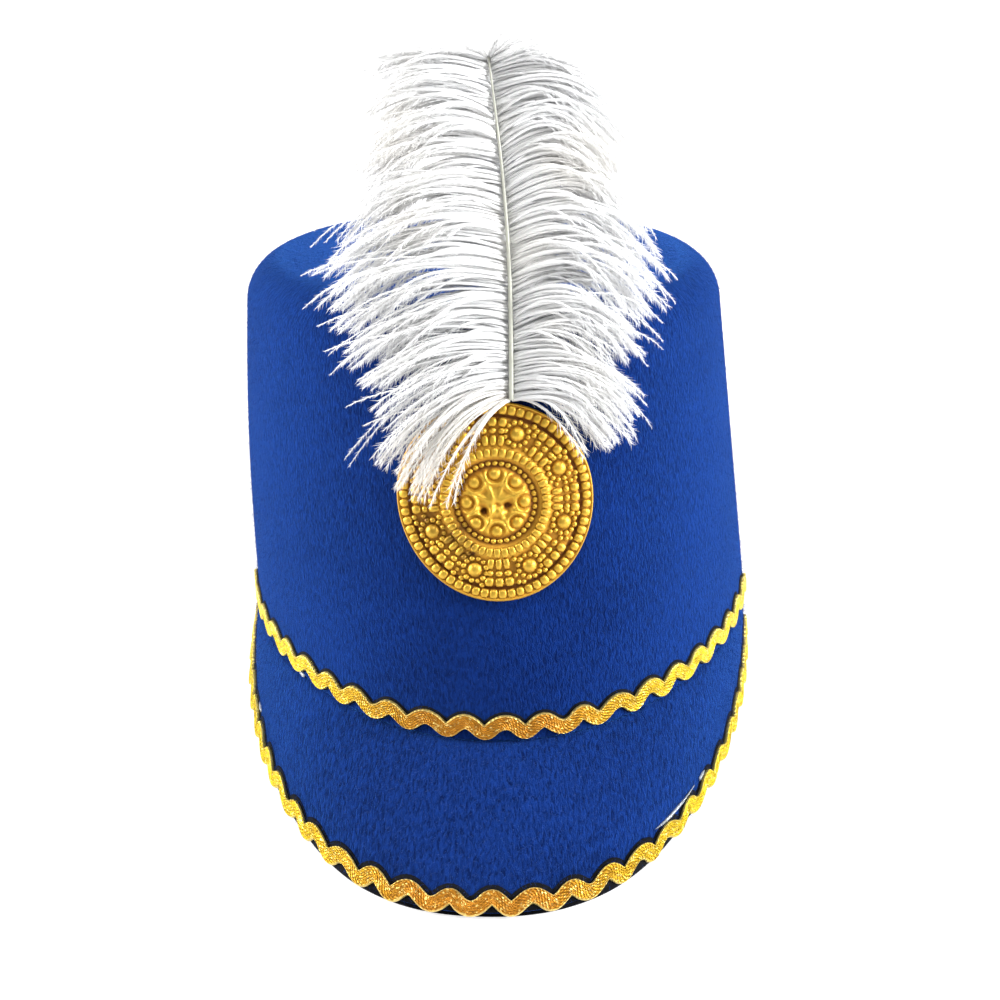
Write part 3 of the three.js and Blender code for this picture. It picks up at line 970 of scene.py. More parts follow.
@dataclass
class Crown:
    """The tall felt crown with its flat top and rounded shoulder.

    Attributes:
        form: The crown's surface.
        columns: The points round each ring.
        wall_rows: The rings up the wall.
        shoulder_rows: The rings over the shoulder.
        top_shares: The rings on the outside of the top, as shares of the shoulder's ring.
        ceiling_shares: The rings on its inside.
        soft_edge: The rounding of the rim.
        fibre_density: The loose fibres on each square metre.
        fibre_length: Their length in metres.
    """

    form: CrownForm = field(default_factory=CrownForm)
    columns: int = 180
    wall_rows: int = 30
    shoulder_rows: int = 12
    top_shares: tuple[float, ...] = (0.93, 0.85, 0.72, 0.55, 0.38, 0.2, 0.06)
    ceiling_shares: tuple[float, ...] = (0.75, 0.4, 0.05)
    soft_edge: float = 0.7
    fibre_density: float = 330000.0
    fibre_length: float = 0.0019

    def profile(self, inset: float) -> list[tuple[float, float, float]]:
        """Gives rows of height, share of the rim's dip, and inset, from the rim up."""
        wall_top = self.form.height - self.form.shoulder
        radius = self.form.shoulder - inset
        edge = self.soft_edge if inset == 0 else -self.soft_edge
        rows = [(0.0, 1.0, inset + edge), (0.35 * self.soft_edge, 1.0, inset + 0.3 * edge)]
        for i in range(self.wall_rows + 1):
            share = i / self.wall_rows
            rows.append((max(wall_top * share, self.soft_edge), 1.0 - share, inset))
        for i in range(1, self.shoulder_rows + 1):
            turn = math.pi / 2 * i / self.shoulder_rows
            rows.append((wall_top + radius * math.sin(turn), 0.0, inset + radius * (1 - math.cos(turn))))
        return rows

    def rings(self, inset: float, top_shares: Sequence[float]) -> Array:
        """Gives the rings of one face of the felt, from the rim to the middle of the top."""
        angle = np.linspace(0.0, 2 * np.pi, self.columns, endpoint=False)
        rows = [
            POSTURE.pressed_flat(self.form.point(angle, height + dip * self.form.rim_height(angle), depth))
            for height, dip, depth in self.profile(inset)
        ]
        middle = np.array([-self.form.lean, 0.0, rows[-1][0, 2]])
        rows.extend(blend(middle, rows[-1], share) for share in top_shares)
        return np.array(rows)

    def shell(self) -> Shell:
        """Builds the felt shell with its surface map, nap and lay."""
        outer = self.rings(0.0, self.top_shares)
        inner = self.rings(self.form.wall, self.ceiling_shares)
        rings = np.concatenate([outer[::-1], inner])
        steps = np.linalg.norm(np.diff(rings.mean(axis=1), axis=0), axis=-1)
        spans = np.linalg.norm(np.diff(rings[:, 0], axis=0), axis=-1)
        down = np.concatenate([[0.0], np.cumsum(np.maximum(steps, spans))])
        turns = np.linspace(0.0, 2 * np.pi, self.columns + 1)
        uv = np.zeros((len(rings), self.columns + 1, 2))
        uv[..., 0] = self.form.rim_half_width * turns[None, :] * MM
        uv[..., 1] = down[:, None] * MM
        top = rings[: len(self.top_shares) + 1, [*range(self.columns), 0], :2] * MM
        nap = np.zeros(rings.shape[:2])
        furry = len(outer) - 2
        nap[:furry] = POSTURE.clear_of_floor(rings[:furry])
        over_top = self.shoulder_rows + len(self.top_shares)
        comb = 0.5
        lay = np.zeros(rings.shape)
        lay[..., 2] = -comb
        lay[:over_top, :, :2] = comb * unit(rings[:over_top, :, :2] + 1e-3)
        lay = lay @ POSTURE.turn().T
        return Shell.of_rings(rings, uv, Ends.POLES, {"nap": nap, "lay": lay}, top)

    def build(
        self, felt: bpy.types.Material, fibres: bpy.types.Material, nap: GrowthTree
    ) -> bpy.types.Object:
        """Makes the crown and grows its nap."""
        piece = mesh_object("felt_crown", self.shell(), felt)
        values = {
            "Density": self.fibre_density,
            "Fibre Length": self.fibre_length,
            "Fibre Finish": fibres,
            "Seed": 3,
        }
        nap.grow(piece, values)
        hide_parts("crown")
        return piece


@dataclass
class Peak:
    """The felt peak and the black lining that shows along its edge.

    Attributes:
        form: The peak's surface.
        columns: The sections along the peak.
        spans: The steps from the seam to the edge.
        tuck: How far the layers reach in under the crown's wall.
        comb: How strongly the nap is combed forward.
        soft_edge: The rounding of the felt's edges.
        fibre_density: The loose fibres on each square metre.
        fibre_length: Their length in metres.
    """

    form: PeakForm = field(default_factory=PeakForm)
    columns: int = 170
    spans: int = 16
    tuck: float = 1.7
    comb: float = 0.6
    soft_edge: float = 0.5
    fibre_density: float = 1150000.0
    fibre_length: float = 0.0022

    def layer(self, top: float, bottom: float, overhang: float) -> Shell:
        """Builds one layer of the peak.

        Args:
            top: The depth of its upper face below the felt's upper face.
            bottom: The depth of its lower face.
            overhang: How far it stands out beyond the felt.

        Returns:
            The closed layer, with its nap on the upper face.
        """
        angle = np.linspace(-self.form.end_angle, self.form.end_angle, self.columns)
        length = self.form.length(angle)
        end = 1.0 + overhang / length
        rounded = end - self.soft_edge / length
        shares = np.linspace(0.0, 1.0, self.spans + 1)
        below_rim = self.form.crown.rim_height(angle) - GAP - 0.05
        tucked = self.form.crown.point(angle, below_rim, self.tuck)
        columns = [
            tucked - np.array([0.0, 0.0, top]),
            *(self.form.point(angle, share * rounded, top) for share in shares),
            *(self.form.point(angle, end, blend(top, bottom, depth)) for depth in (0.4, 0.6)),
            *(self.form.point(angle, share * rounded, bottom) for share in shares[::-1]),
            tucked - np.array([0.0, 0.0, bottom]),
        ]
        marks = np.zeros(len(columns))
        marks[1 : len(shares) + 1] = 1.0
        marks[len(shares) + 1] = 0.3
        rings = POSTURE.pressed_flat(np.stack(columns, axis=1))
        steps = np.linalg.norm(np.diff(rings, axis=1), axis=-1)
        out = np.concatenate([np.zeros((len(angle), 1)), np.cumsum(steps, axis=1)], axis=1)
        out = np.concatenate([out, out[:, -1:] + 1.0], axis=1)
        walk = np.linalg.norm(np.diff(rings[:, self.spans // 2], axis=0), axis=-1)
        uv = np.zeros((*out.shape, 2))
        uv[..., 0] = np.concatenate([[0.0], np.cumsum(walk)])[:, None] * MM
        uv[..., 1] = out * MM
        nap = marks * POSTURE.clear_of_floor(rings)
        way = unit(self.form.edge(angle) - self.form.seam(angle))[:, None, :] * self.comb
        lay = np.broadcast_to(way, rings.shape) @ POSTURE.turn().T
        return Shell.of_rings(rings, uv, Ends.CAPS, {"nap": nap, "lay": lay})

    def build(
        self, felt: bpy.types.Material, fibres: bpy.types.Material, nap: GrowthTree
    ) -> bpy.types.Object:
        """Makes the felt of the peak and grows its nap."""
        piece = mesh_object("felt_peak", self.layer(0.0, self.form.felt, 0.0), felt)
        values = {
            "Density": self.fibre_density,
            "Fibre Length": self.fibre_length,
            "Fibre Finish": fibres,
            "Seed": 4,
        }
        nap.grow(piece, values)
        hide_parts("peak")
        return piece

    def build_lining(self, finish: bpy.types.Material) -> bpy.types.Object:
        """Makes the black lining under the felt."""
        top = self.form.felt + GAP
        shell = self.layer(top, top + self.form.lining, self.form.lining_show)
        piece = mesh_object("black_lining", shell, finish)
        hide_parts("peak_lining")
        return piece


@dataclass
class Rickrack:
    """A row of gold rickrack, woven in waves, with a dark band showing beside it that is partly the braid's
    black edge and partly painted shadow.

    Attributes:
        name: The piece's name.
        node: The CAD node that it stands for.
        place: Gives points by angle, way across and way off the ground.
        ends: The angles at which the row begins and ends.
        band: The width of the band.
        swing: How far the wave swings to each side.
        pitch: The length of a wave.
        thickness: The braid's thickness.
        ridge: The height of the ridges across the band.
        dish: How far the band is lower along its middle.
        drift: How far the waves run early or late, in radians.
        unevenness: The least and the greatest share of the swing.
        steps: The sections in each wave.
        threads: The ridges across the band.
        backing: How far the dark band, partly painted shadow, stands out below and above the braid.
        dark_band_edge: Where the dark band's lower side runs straight, if it does.
        dark_band_heights: How far the dark band's points are off the ground, from side to side.
        seed: The seed of the wave's small irregularities.
    """

    name: str
    node: str
    place: Place
    ends: tuple[float, float]
    band: float = 4.5
    swing: float = 1.55
    pitch: float = 12.3
    thickness: float = 1.2
    ridge: float = 0.17
    dish: float = 0.12
    drift: float = 0.45
    unevenness: tuple[float, float] = (0.86, 1.12)
    steps: int = 18
    threads: int = 7
    backing: tuple[float, float] = (0.35, 0.85)
    dark_band_edge: float | None = None
    dark_band_heights: tuple[float, ...] = (0.1, 0.26, 0.26, 0.26, 0.26, 0.26, 0.1)
    seed: int = 5

    def row(self, across: Array, low: float, high: Array, widen: tuple[float, float]) -> Shell:
        """Builds one woven row, whose band keeps its width along the wave.

        Args:
            across: The places of the points across the band, from -1 to 1.
            low: How far the underside is off the ground.
            high: How far each point of the upper side is off the ground.
            widen: How far the row is wider than the band, below and above.

        Returns:
            The closed row with a surface map along and across it.
        """
        start, end = self.ends
        overrun, samples = 1.06, 3001
        table = np.linspace(overrun * start, overrun * end, samples)
        line = self.place(table, np.zeros_like(table), np.zeros_like(table))
        walk = np.concatenate([[0.0], np.cumsum(np.linalg.norm(np.diff(line, axis=0), axis=-1))])
        walk = walk - np.interp(start, table, walk)
        length = float(np.interp(end, table, walk))
        waves = round(length / self.pitch)
        stations = np.linspace(0.0, length, waves * self.steps + 1)
        rng = np.random.default_rng(self.seed)
        knots = np.linspace(0.0, length, 2 * waves + 1)
        early = np.interp(stations, knots, rng.uniform(-self.drift, self.drift, len(knots)))
        swing = self.swing * np.interp(stations, knots, rng.uniform(*self.unevenness, len(knots)))
        middle = swing * np.sin(2 * np.pi * waves / length * stations + early)
        slope = np.gradient(middle, stations)
        rise = 1.0 / np.sqrt(1.0 + slope**2)

        def column(a: float, height: float) -> Array:
            """Gives the points at one place across the band, that far off the ground."""
            reach = (self.band / 2 + widen[int(a > 0)]) * a
            angle = np.interp(stations - reach * slope * rise, walk, table)
            place = middle + reach * rise
            if self.dark_band_edge is not None and widen[0] > 0 and a < 0:
                place = blend(middle, self.dark_band_edge, -a)
            return self.place(angle, place, np.full_like(angle, height))

        under = (float(across[-1]), float(across[0]))
        columns = [column(float(a), float(h)) for a, h in zip(across, high)]
        columns.extend(column(a, low) for a in under)
        rings = np.stack(columns, axis=1)
        places = np.concatenate([across, under, across[:1]]) * self.band / 2
        uv = np.zeros((len(stations), len(places), 2))
        uv[..., 0] = stations[:, None] * MM
        uv[..., 1] = places[None, :] * MM
        return Shell.of_rings(rings, uv, Ends.CAPS)

    def build(self, gold: bpy.types.Material, dark: bpy.types.Material) -> list[bpy.types.Object]:
        """Makes the gold braid and the dark band beneath it, which is partly painted shadow beside the braid.
        """
        across = np.linspace(-1.0, 1.0, 6 * self.threads + 1)
        ridges = np.abs(np.sin(np.pi * (across + 1.0) * self.threads / 2))
        edge = np.clip((1.0 - np.abs(across)) / 0.08, 0.0, 1.0) ** 0.5
        high = GAP + self.thickness * (0.45 + 0.4 * edge) + self.ridge * ridges * edge
        high = high - self.dish * (1 - np.abs(across))
        braid = mesh_object(self.name, self.row(across, GAP, high, (0.0, 0.0)), gold)
        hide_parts(self.node)
        # The dark band stands partly for the braid's black edge and partly as painted shadow along it.
        flat = np.linspace(-1.0, 1.0, len(self.dark_band_heights))
        shell = self.row(flat, 0.03, np.array(self.dark_band_heights), self.backing)
        backing = mesh_object(f"{self.name}_backing", shell, dark)
        return [braid, backing]


SEAM_TRIM_RISE = 4.6
PEAK_TRIM_INSET = 2.5
PEAK_TRIM_END_INSET = 1.1
PEAK_TRIM_LEAN = 0.24
PEAK_TRIM_LEAN_FROM = 2.2
PEAK_TRIM_TURN = math.radians(35.0)


def seam_place(angle: Array, across: Array, standoff: Array) -> Array:
    """Gives the ground of the rickrack above the joint of crown and peak."""
    height = CROWN.rim_height(angle) + SEAM_TRIM_RISE + across
    return CROWN.on_wall(angle * CROWN.rim_half_width, height, standoff)


def peak_place(angle: Array, across: Array, standoff: Array) -> Array:
    """Gives the ground of the rickrack along the peak's outer edge.

    Towards the peak's ends the row lies a little further in, and its outer side stands off
    the felt.
    """
    ease = np.clip((np.abs(angle) - PEAK_TRIM_TURN) / PEAK_TRIM_TURN, 0.0, 1.0)
    inward = PEAK_TRIM_INSET + PEAK_TRIM_END_INSET * ease + across
    lean = PEAK_TRIM_LEAN * ease * np.clip(PEAK_TRIM_LEAN_FROM - across, 0.0, None)
    return PEAK.point(angle, 1.0 - inward / PEAK.length(angle), -standoff - lean)


SEAM_BRAID = Rickrack(
    name="seam_rickrack",
    node="seam_trim",
    place=seam_place,
    ends=(math.radians(-77.0), math.radians(80.0)),
)
PEAK_BRAID = Rickrack(
    name="peak_rickrack",
    node="peak_trim",
    place=peak_place,
    ends=(-PEAK.end_angle, PEAK.end_angle),
    backing=(0.35, 1.5),
    dark_band_edge=-2.55,
    seed=6,
)


@dataclass
class BeadRow:
    """Beads of one kind on the badge.

    Attributes:
        kind: Their shape.
        radius: How far each is from the badge's middle.
        angle: Its angle from the top, clockwise.
        rise: The height of its foot above the wall.
        size: Its half sizes round, outwards and up.
    """

    kind: BeadKind
    radius: Array
    angle: Array
    rise: Array
    size: Array


@dataclass
class Badge:
    """The round gold medallion with beads and a rosette in relief.

    Attributes:
        radius: The badge's radius.
        across: The way from the front's middle line to its middle.
        height: The height of its middle on the wall.
        ground: The height of the field between the beads.
        sectors: How often the pattern of bosses and columns repeats.
        boss_turn: The angle of the first large boss.
        column_turn: The angle between the columns of a group.
        ring_forms: The ridges and grooves round the middle: radius, width and rise of each.
        rosette_edge: The radius at which the rosette ends.
        rosette_orbit: The radius of the circle of round bosses in the rosette.
        hub_forms: The knobs and hollows in the middle: place, width, height and lift of each.
        stains: The brown stains: place, size and strength of each.
        boss_orbit: The large bosses' distance from the middle.
        boss_collar: The distance from a large boss to the small beads round it.
        grain_zone: The least and the greatest distance of a grain from the middle.
        grain_spacing: The least distance between two grains.
        grain_boss_clearance: The least distance from a grain to a large boss.
        grain_column_clearance: The least way from a grain to a group of columns.
        grain_tries: How often a place for a grain is tried.
    """

    radius: float = 29.3
    across: float = 5.9
    height: float = 66.0
    ground: float = 1.75
    sectors: int = 8
    boss_turn: float = math.radians(19.5)
    column_turn: float = math.radians(7.2)
    ring_forms: tuple[tuple[float, float, float], ...] = (
        (28.85, 0.4, 0.55),
        (25.2, 0.5, -0.5),
        (14.7, 1.7, 0.75),
        (11.5, 1.1, -0.5),
    )
    rosette_edge: float = 10.2
    rosette_orbit: float = 8.4
    hub_forms: tuple[tuple[float, float, float, float, float], ...] = (
        (-3.5, -2.2, 1.1, 1.3, -1.5),
        (3.2, -1.0, 1.3, 1.1, -1.5),
        (0.3, -0.6, 1.0, 0.8, -0.8),
        (-1.5, -2.5, 1.0, 1.3, 0.9),
        (1.6, -3.0, 1.1, 1.1, 0.8),
        (-1.2, 1.2, 1.0, 1.8, 0.5),
    )
    stains: tuple[tuple[float, float, float, float], ...] = (
        (-8.4, -14.2, 2.6, 1.5),
        (-12.0, -9.2, 3.4, 1.3),
        (-20.5, -6.0, 3.4, 1.1),
    )
    boss_orbit: float = 20.9
    boss_collar: float = 3.4
    grain_zone: tuple[float, float] = (16.9, 25.0)
    grain_spacing: float = 1.42
    grain_boss_clearance: float = 4.75
    grain_column_clearance: float = 1.9
    grain_tries: int = 9000

    def place(self, radius: Array, angle: Array, rise: Array) -> Array:
        """Gives points on the badge by radius, angle from the top and height above its back."""
        across = self.across + radius * np.sin(angle)
        return CROWN.on_wall(across, self.height + radius * np.cos(angle), GAP + rise)

    def ridge(self, radius: Array, middle: float, width: float, rise: float) -> Array:
        """Gives a rounded ring-shaped ridge, or a groove where the rise is negative."""
        return rise * np.exp(-(((radius - middle) / width) ** 2))

    def relief(self, radius: Array, angle: Array) -> Array:
        """Gives the height of the pressed ground above the badge's back.

        Args:
            radius: The distances from the middle.
            angle: The angles from the top.

        Returns:
            The heights.
        """
        rise = np.full(np.broadcast(radius, angle).shape, self.ground)
        for middle, width, height in self.ring_forms:
            rise = rise + self.ridge(radius, middle, width, height)
        rise = rise + self.rosette(radius, angle)
        x, y = radius * np.sin(angle), radius * np.cos(angle)
        for across, up, width, height, lift in self.hub_forms:
            rise = rise + lift * np.exp(-(((x - across) / width) ** 2 + ((y - up) / height) ** 2))
        return rise

    def rosette(self, radius: Array, angle: Array) -> Array:
        """Gives the height that the rosette adds: petals round bosses, a hub and star ridges.

        Args:
            radius: The distances from the middle.
            angle: The angles from the top.

        Returns:
            The added heights.
        """
        petal_radius, petal_width, petal_rise = 2.85, 0.62, 1.15
        boss_radius, boss_rise = 1.8, 1.25
        hub_radius, hub_rise = 4.4, 0.85
        star_radius, star_width, star_rise = 5.4, 2.0, 0.8
        turn = 2 * np.pi / self.sectors
        nearest = np.round(angle / turn) * turn
        dx = radius * np.cos(angle - nearest) - self.rosette_orbit
        dy = radius * np.sin(angle - nearest)
        reach = np.hypot(dx, dy)
        inside = 1.0 / (1.0 + np.exp((radius - self.rosette_edge) / 0.25))
        inward = 1.0 / (1.0 + np.exp((dx - 0.9) / 0.3))
        rise = inside * inward * self.ridge(reach, petal_radius, petal_width, petal_rise)
        rise = rise + inside * boss_rise * np.clip(1.0 - (reach / boss_radius) ** 2, 0.0, 1.0) ** 0.5
        rise = rise + hub_rise * np.exp(-((radius / hub_radius) ** 4))
        between = 0.5 - 0.5 * np.cos(self.sectors * angle)
        return rise + between**3 * self.ridge(radius, star_radius, star_width, star_rise)

    def stain(self, radius: Array, angle: Array) -> Array:
        """Gives how strong the brown stain is at each place."""
        x, y = radius * np.sin(angle), radius * np.cos(angle)
        strength = np.zeros(np.broadcast(x, y).shape)
        for across, up, size, depth in self.stains:
            strength = np.maximum(strength, depth * np.exp(-(((x - across) ** 2 + (y - up) ** 2) / size**2)))
        return np.clip(strength, 0.0, 1.0)

    def ground_shell(self) -> Shell:
        """Builds the pressed disc with its rounded rim, and the relief level that sets its painted shade."""
        columns = 216
        angle = np.linspace(0.0, 2 * np.pi, columns, endpoint=False)
        radii = np.concatenate(
            [np.linspace(0.12, 10.8, 54), np.linspace(11.1, 27.2, 30), np.linspace(27.5, 29.1, 10)]
        )
        heights = [self.relief(np.full_like(angle, r), angle) for r in radii]
        rings = [self.place(r, angle, height) for r, height in zip(radii, heights)]
        # The relief level sets the painted shade: brown low down, gold on top.
        level = [np.clip((h - self.ground + 0.35) / 1.5, 0.0, 1.0) for h in heights]
        dirt = [self.stain(np.full_like(angle, r), angle) for r in radii]
        rim = float(self.relief(np.array([29.1]), np.array([0.0]))[0])
        # The rim's side is toned darker towards the wall as painted shade.
        edge = ((29.3, rim - 0.35, 0.6), (29.3, 0.3, 0.25), (29.0, 0.0, 0.0))
        back = ((15.0, 0.0, 0.0), (0.5, 0.0, 0.0))
        for r, rise, tone in (*edge, *back):
            rings.append(self.place(r, angle, np.full_like(angle, rise)))
            level.append(np.full_like(angle, tone))
            dirt.append(np.zeros_like(angle))
        uv = np.zeros((len(rings), columns + 1, 2))
        uv[..., 0] = np.linspace(0.0, 2 * np.pi, columns + 1)[None, :] * self.radius * MM
        uv[..., 1] = np.linspace(0.0, self.radius, len(rings))[:, None] * MM
        marks = {"relief": np.array(level), "stain": np.array(dirt)}
        return Shell.of_rings(np.array(rings), uv, Ends.POLES, marks)

    def ring_row(
        self, kind: BeadKind, radius: float, count: int, size: tuple[float, float, float]
    ) -> BeadRow:
        """Gives one full circle of nearly equal beads."""
        angle = np.linspace(0.0, 2 * np.pi, count, endpoint=False) + 0.02
        rise = self.relief(np.full(count, radius), angle) - 0.1
        sizes = np.array(size) * (1.0 + 0.05 * np.sin(7.3 * np.arange(count)))[:, None]
        return BeadRow(kind, np.full(count, radius), angle, rise, sizes)

    def column_rows(self) -> list[BeadRow]:
        """Gives the groups of three radial columns, each with two beads and a bar."""
        rows = []
        turns = np.arange(self.sectors) * 2 * np.pi / self.sectors
        for radius, kind, size in (
            (23.5, BeadKind.SQUARE, (1.4, 1.45, 1.35)),
            (21.0, BeadKind.ROUND, (1.22, 1.05, 1.15)),
            (18.1, BeadKind.SQUARE, (1.02, 1.8, 1.15)),
        ):
            angle = (turns[:, None] + np.array([-1.0, 0.0, 1.0])[None, :] * self.column_turn).ravel()
            count = len(angle)
            rise = np.full(count, self.ground - 0.1)
            rows.append(BeadRow(kind, np.full(count, radius), angle, rise, np.tile(size, (count, 1))))
        return rows

    def boss_rows(self) -> list[BeadRow]:
        """Gives the large bosses, the small beads round each, and the grains between."""
        turns = self.boss_turn + np.arange(self.sectors) * 2 * np.pi / self.sectors
        orbit, collar = self.boss_orbit, self.boss_collar
        bosses = BeadRow(
            BeadKind.ROUND,
            np.full(self.sectors, orbit),
            turns,
            np.full(self.sectors, self.ground - 0.1),
            np.tile((2.35, 2.35, 1.9), (self.sectors, 1)),
        )
        spin = np.linspace(0.0, 2 * np.pi, 12, endpoint=False)
        x = orbit * np.sin(turns)[:, None] + collar * np.sin(spin + turns[:, None])
        y = orbit * np.cos(turns)[:, None] + collar * np.cos(spin + turns[:, None])
        return [bosses, self.scattered(x.ravel(), y.ravel(), 0.9, 0.1), self.grains(turns)]

    def scattered(self, x: Array, y: Array, size: float, spread: float) -> BeadRow:
        """Gives small round beads at places on the badge."""
        radius, angle = np.hypot(x, y), np.arctan2(x, y)
        wobble = 1.0 + spread * np.sin(37.0 * x + 91.0 * y)
        sizes = np.stack([size * wobble, size * wobble, 1.15 * size * wobble], axis=-1)
        return BeadRow(BeadKind.ROUND, radius, angle, self.relief(radius, angle) - 0.08, sizes)

    def grains(self, turns: Array) -> BeadRow:
        """Fills what is left of the broad zone with fine grains, clear of bosses and columns."""
        rng = np.random.default_rng(12)
        kept: list[tuple[float, float]] = []
        bosses = self.boss_orbit * np.stack([np.sin(turns), np.cos(turns)], axis=-1)
        turn = 2 * math.pi / self.sectors
        for _ in range(self.grain_tries):
            radius, angle = rng.uniform(*self.grain_zone), rng.uniform(0.0, 2 * np.pi)
            x, y = radius * math.sin(angle), radius * math.cos(angle)
            if np.min(np.hypot(bosses[:, 0] - x, bosses[:, 1] - y)) < self.grain_boss_clearance:
                continue
            to_column = abs(angle - round(angle / turn) * turn)
            if to_column < self.column_turn + self.grain_column_clearance / radius:
                continue
            if all(math.hypot(x - a, y - b) > self.grain_spacing for a, b in kept):
                kept.append((x, y))
        places = np.array(kept)
        return self.scattered(places[:, 0], places[:, 1], 0.86, 0.14)

    def rows(self) -> list[BeadRow]:
        """Gives all beads of the badge."""
        return [
            self.ring_row(BeadKind.SQUARE, 27.1, 65, (1.28, 1.45, 1.0)),
            self.ring_row(BeadKind.SQUARE, 14.7, 42, (1.08, 1.5, 0.9)),
            self.ring_row(BeadKind.ROUND, 11.5, 37, (0.95, 0.92, 0.95)),
            *self.column_rows(),
            *self.boss_rows(),
        ]

    def bead(self, kind: BeadKind) -> bpy.types.Object:
        """Makes one bead of a kind, a closed dome of unit size with its relief, which sets its painted shade.
        """
        sides, rows = 10, 4
        power = 2.0 if kind is BeadKind.ROUND else 4.0
        turn = np.linspace(0.0, 2 * np.pi, sides, endpoint=False) + math.pi / sides
        rings = []
        for i in range(rows):
            lift = math.pi / 2 * i / rows
            c, s = np.cos(turn), np.sin(turn)
            square = (np.abs(c) ** power + np.abs(s) ** power) ** (-1.0 / power)
            scale = square * math.cos(lift) ** (2.0 / power)
            rings.append(np.stack([scale * c, scale * s, np.full(sides, math.sin(lift))], axis=-1))
        points = np.concatenate([*rings, [[0.0, 0.0, 1.0]]])
        faces: list[tuple[int, ...]] = [tuple(range(sides))[::-1]]
        for i in range(rows - 1):
            for j in range(sides):
                k = (j + 1) % sides
                here, above = i * sides, (i + 1) * sides
                faces.append((here + j, here + k, above + k, above + j))
        last = (rows - 1) * sides
        faces.extend((last + j, last + (j + 1) % sides, len(points) - 1) for j in range(sides))
        mesh = bpy.data.meshes.new(f"bead_{kind.value}")
        mesh.from_pydata(points.tolist(), [], faces)
        # The height up the bead sets its painted shade, brown at its foot.
        relief = (0.1 + points[:, 2]).astype(np.float32)
        mesh.attributes.new("relief", "FLOAT", "POINT").data.foreach_set("value", relief)
        mesh.shade_smooth()
        return linked(mesh.name, mesh)

    def bead_points(self, row: BeadRow) -> bpy.types.Object:
        """Makes the points that carry one row of beads, with their size, turn and stain."""
        step = 0.05
        places = self.place(row.radius, row.angle, row.rise)
        round_way = self.place(row.radius, row.angle + step / row.radius, row.rise) - places
        outward = self.place(row.radius + step, row.angle, row.rise) - places
        turns = []
        for tangent, out in zip(round_way @ POSTURE.turn().T, outward @ POSTURE.turn().T):
            x, y = Vector(tangent).normalized(), Vector(out)
            up = x.cross(y).normalized()
            up = up if up.dot(Vector((0.0, -1.0, 0.0))) > 0 else -up
            side = up.cross(x).normalized()
            turns.append(tuple(Matrix((x, side, up)).transposed().to_euler()))
        mesh = bpy.data.meshes.new("bead_points")
        mesh.from_pydata(POSTURE.to_row(places).tolist(), [], [])
        values = {"size": row.size * MM, "turn": np.array(turns)}
        for name, value in values.items():
            attribute = mesh.attributes.new(name, "FLOAT_VECTOR", "POINT")
            attribute.data.foreach_set("vector", value.astype(np.float32).ravel())
        dirt = self.stain(row.radius, row.angle).astype(np.float32)
        mesh.attributes.new("stain", "FLOAT", "POINT").data.foreach_set("value", dirt)
        return linked("bead_points", mesh)

    def build(self, gold: bpy.types.Material, tree: GrowthTree) -> bpy.types.Object:
        """Makes the badge: its pressed ground and all its beads, joined into one piece."""
        parts = [mesh_object("gold_badge", self.ground_shell(), gold)]
        beads = {kind: self.bead(kind) for kind in BeadKind}
        for row in self.rows():
            points = self.bead_points(row)
            parts.append(tree.grow(points, {"Bead": beads[row.kind], "Finish": gold}))
        for bead in beads.values():
            bpy.data.objects.remove(bead)
        piece = joined("gold_badge", parts)
        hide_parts("badge")
        return piece


PLUME_ROWS = {
    Side.LEFT: (
        (0.00, 33.0, -30.0, 1.0),
        (0.02, 38.0, -26.0, 1.5),
        (0.06, 43.0, -18.5, 2.5),
        (0.12, 47.0, -13.5, 3.0),
        (0.20, 50.0, -11.5, 3.5),
        (0.30, 53.0, -11.0, 4.0),
        (0.40, 58.5, -13.5, 5.0),
        (0.50, 57.0, -13.5, 5.0),
        (0.58, 57.0, -13.0, 5.0),
        (0.66, 48.0, -11.5, 4.5),
        (0.74, 46.5, -10.5, 4.5),
        (0.84, 42.5, -7.5, 4.0),
        (0.92, 41.0, -5.0, 3.5),
        (0.96, 40.5, -2.0, 3.0),
        (0.98, 39.0, 0.2, 2.5),
        (1.00, 33.0, 1.2, 1.5),
        (1.02, 20.0, 2.2, 0.5),
        (1.04, 6.0, 3.5, 0.0),
    ),
    Side.RIGHT: (
        (0.00, 34.0, -18.0, 2.6),
        (0.03, 36.5, -17.5, 3.0),
        (0.08, 39.5, -16.5, 3.5),
        (0.15, 38.5, -14.5, 4.0),
        (0.25, 41.5, -12.0, 5.0),
        (0.35, 49.0, -12.0, 6.0),
        (0.45, 49.0, -12.5, 6.0),
        (0.55, 48.5, -14.0, 7.0),
        (0.62, 41.5, -9.5, 7.0),
        (0.70, 45.0, -11.5, 7.5),
        (0.80, 42.5, -12.0, 6.5),
        (0.90, 43.5, -11.0, 4.5),
        (0.96, 40.0, -8.0, 3.0),
        (0.98, 29.0, -1.5, 2.0),
        (1.00, 18.0, 1.2, 1.0),
        (1.02, 9.0, 2.6, 0.5),
        (1.04, 1.0, 3.5, 0.0),
    ),
}


WEB_TAPER = ((0.0, 0.12, 0.45, 0.75, 1.0), (0.8, 1.1, 0.9, 0.45, 0.1))
HAIR_TAPER = ((0.0, 0.1, 0.3, 0.6, 0.9, 1.0), (0.12, 0.25, 0.5, 0.95, 1.0, 0.5))


@dataclass(frozen=True)
class LockLayer:
    """One layer of locks on both sides of the quill.

    Attributes:
        name: The layer's name.
        locks: The locks from the foot to the tip.
        barbs: The barbs in each lock.
        reach: The layer's reach as a share of the feather's outline.
        lift: The least and the greatest height of a lock's arch off the wall.
        tuft: Half the height that the tips of a lock spread over.
        strays: The long loose barbs that leave the locks.
        seed: The seed of all that is random.
    """

    name: str
    locks: int
    barbs: int
    reach: float
    lift: tuple[float, float]
    tuft: float
    strays: int
    seed: int


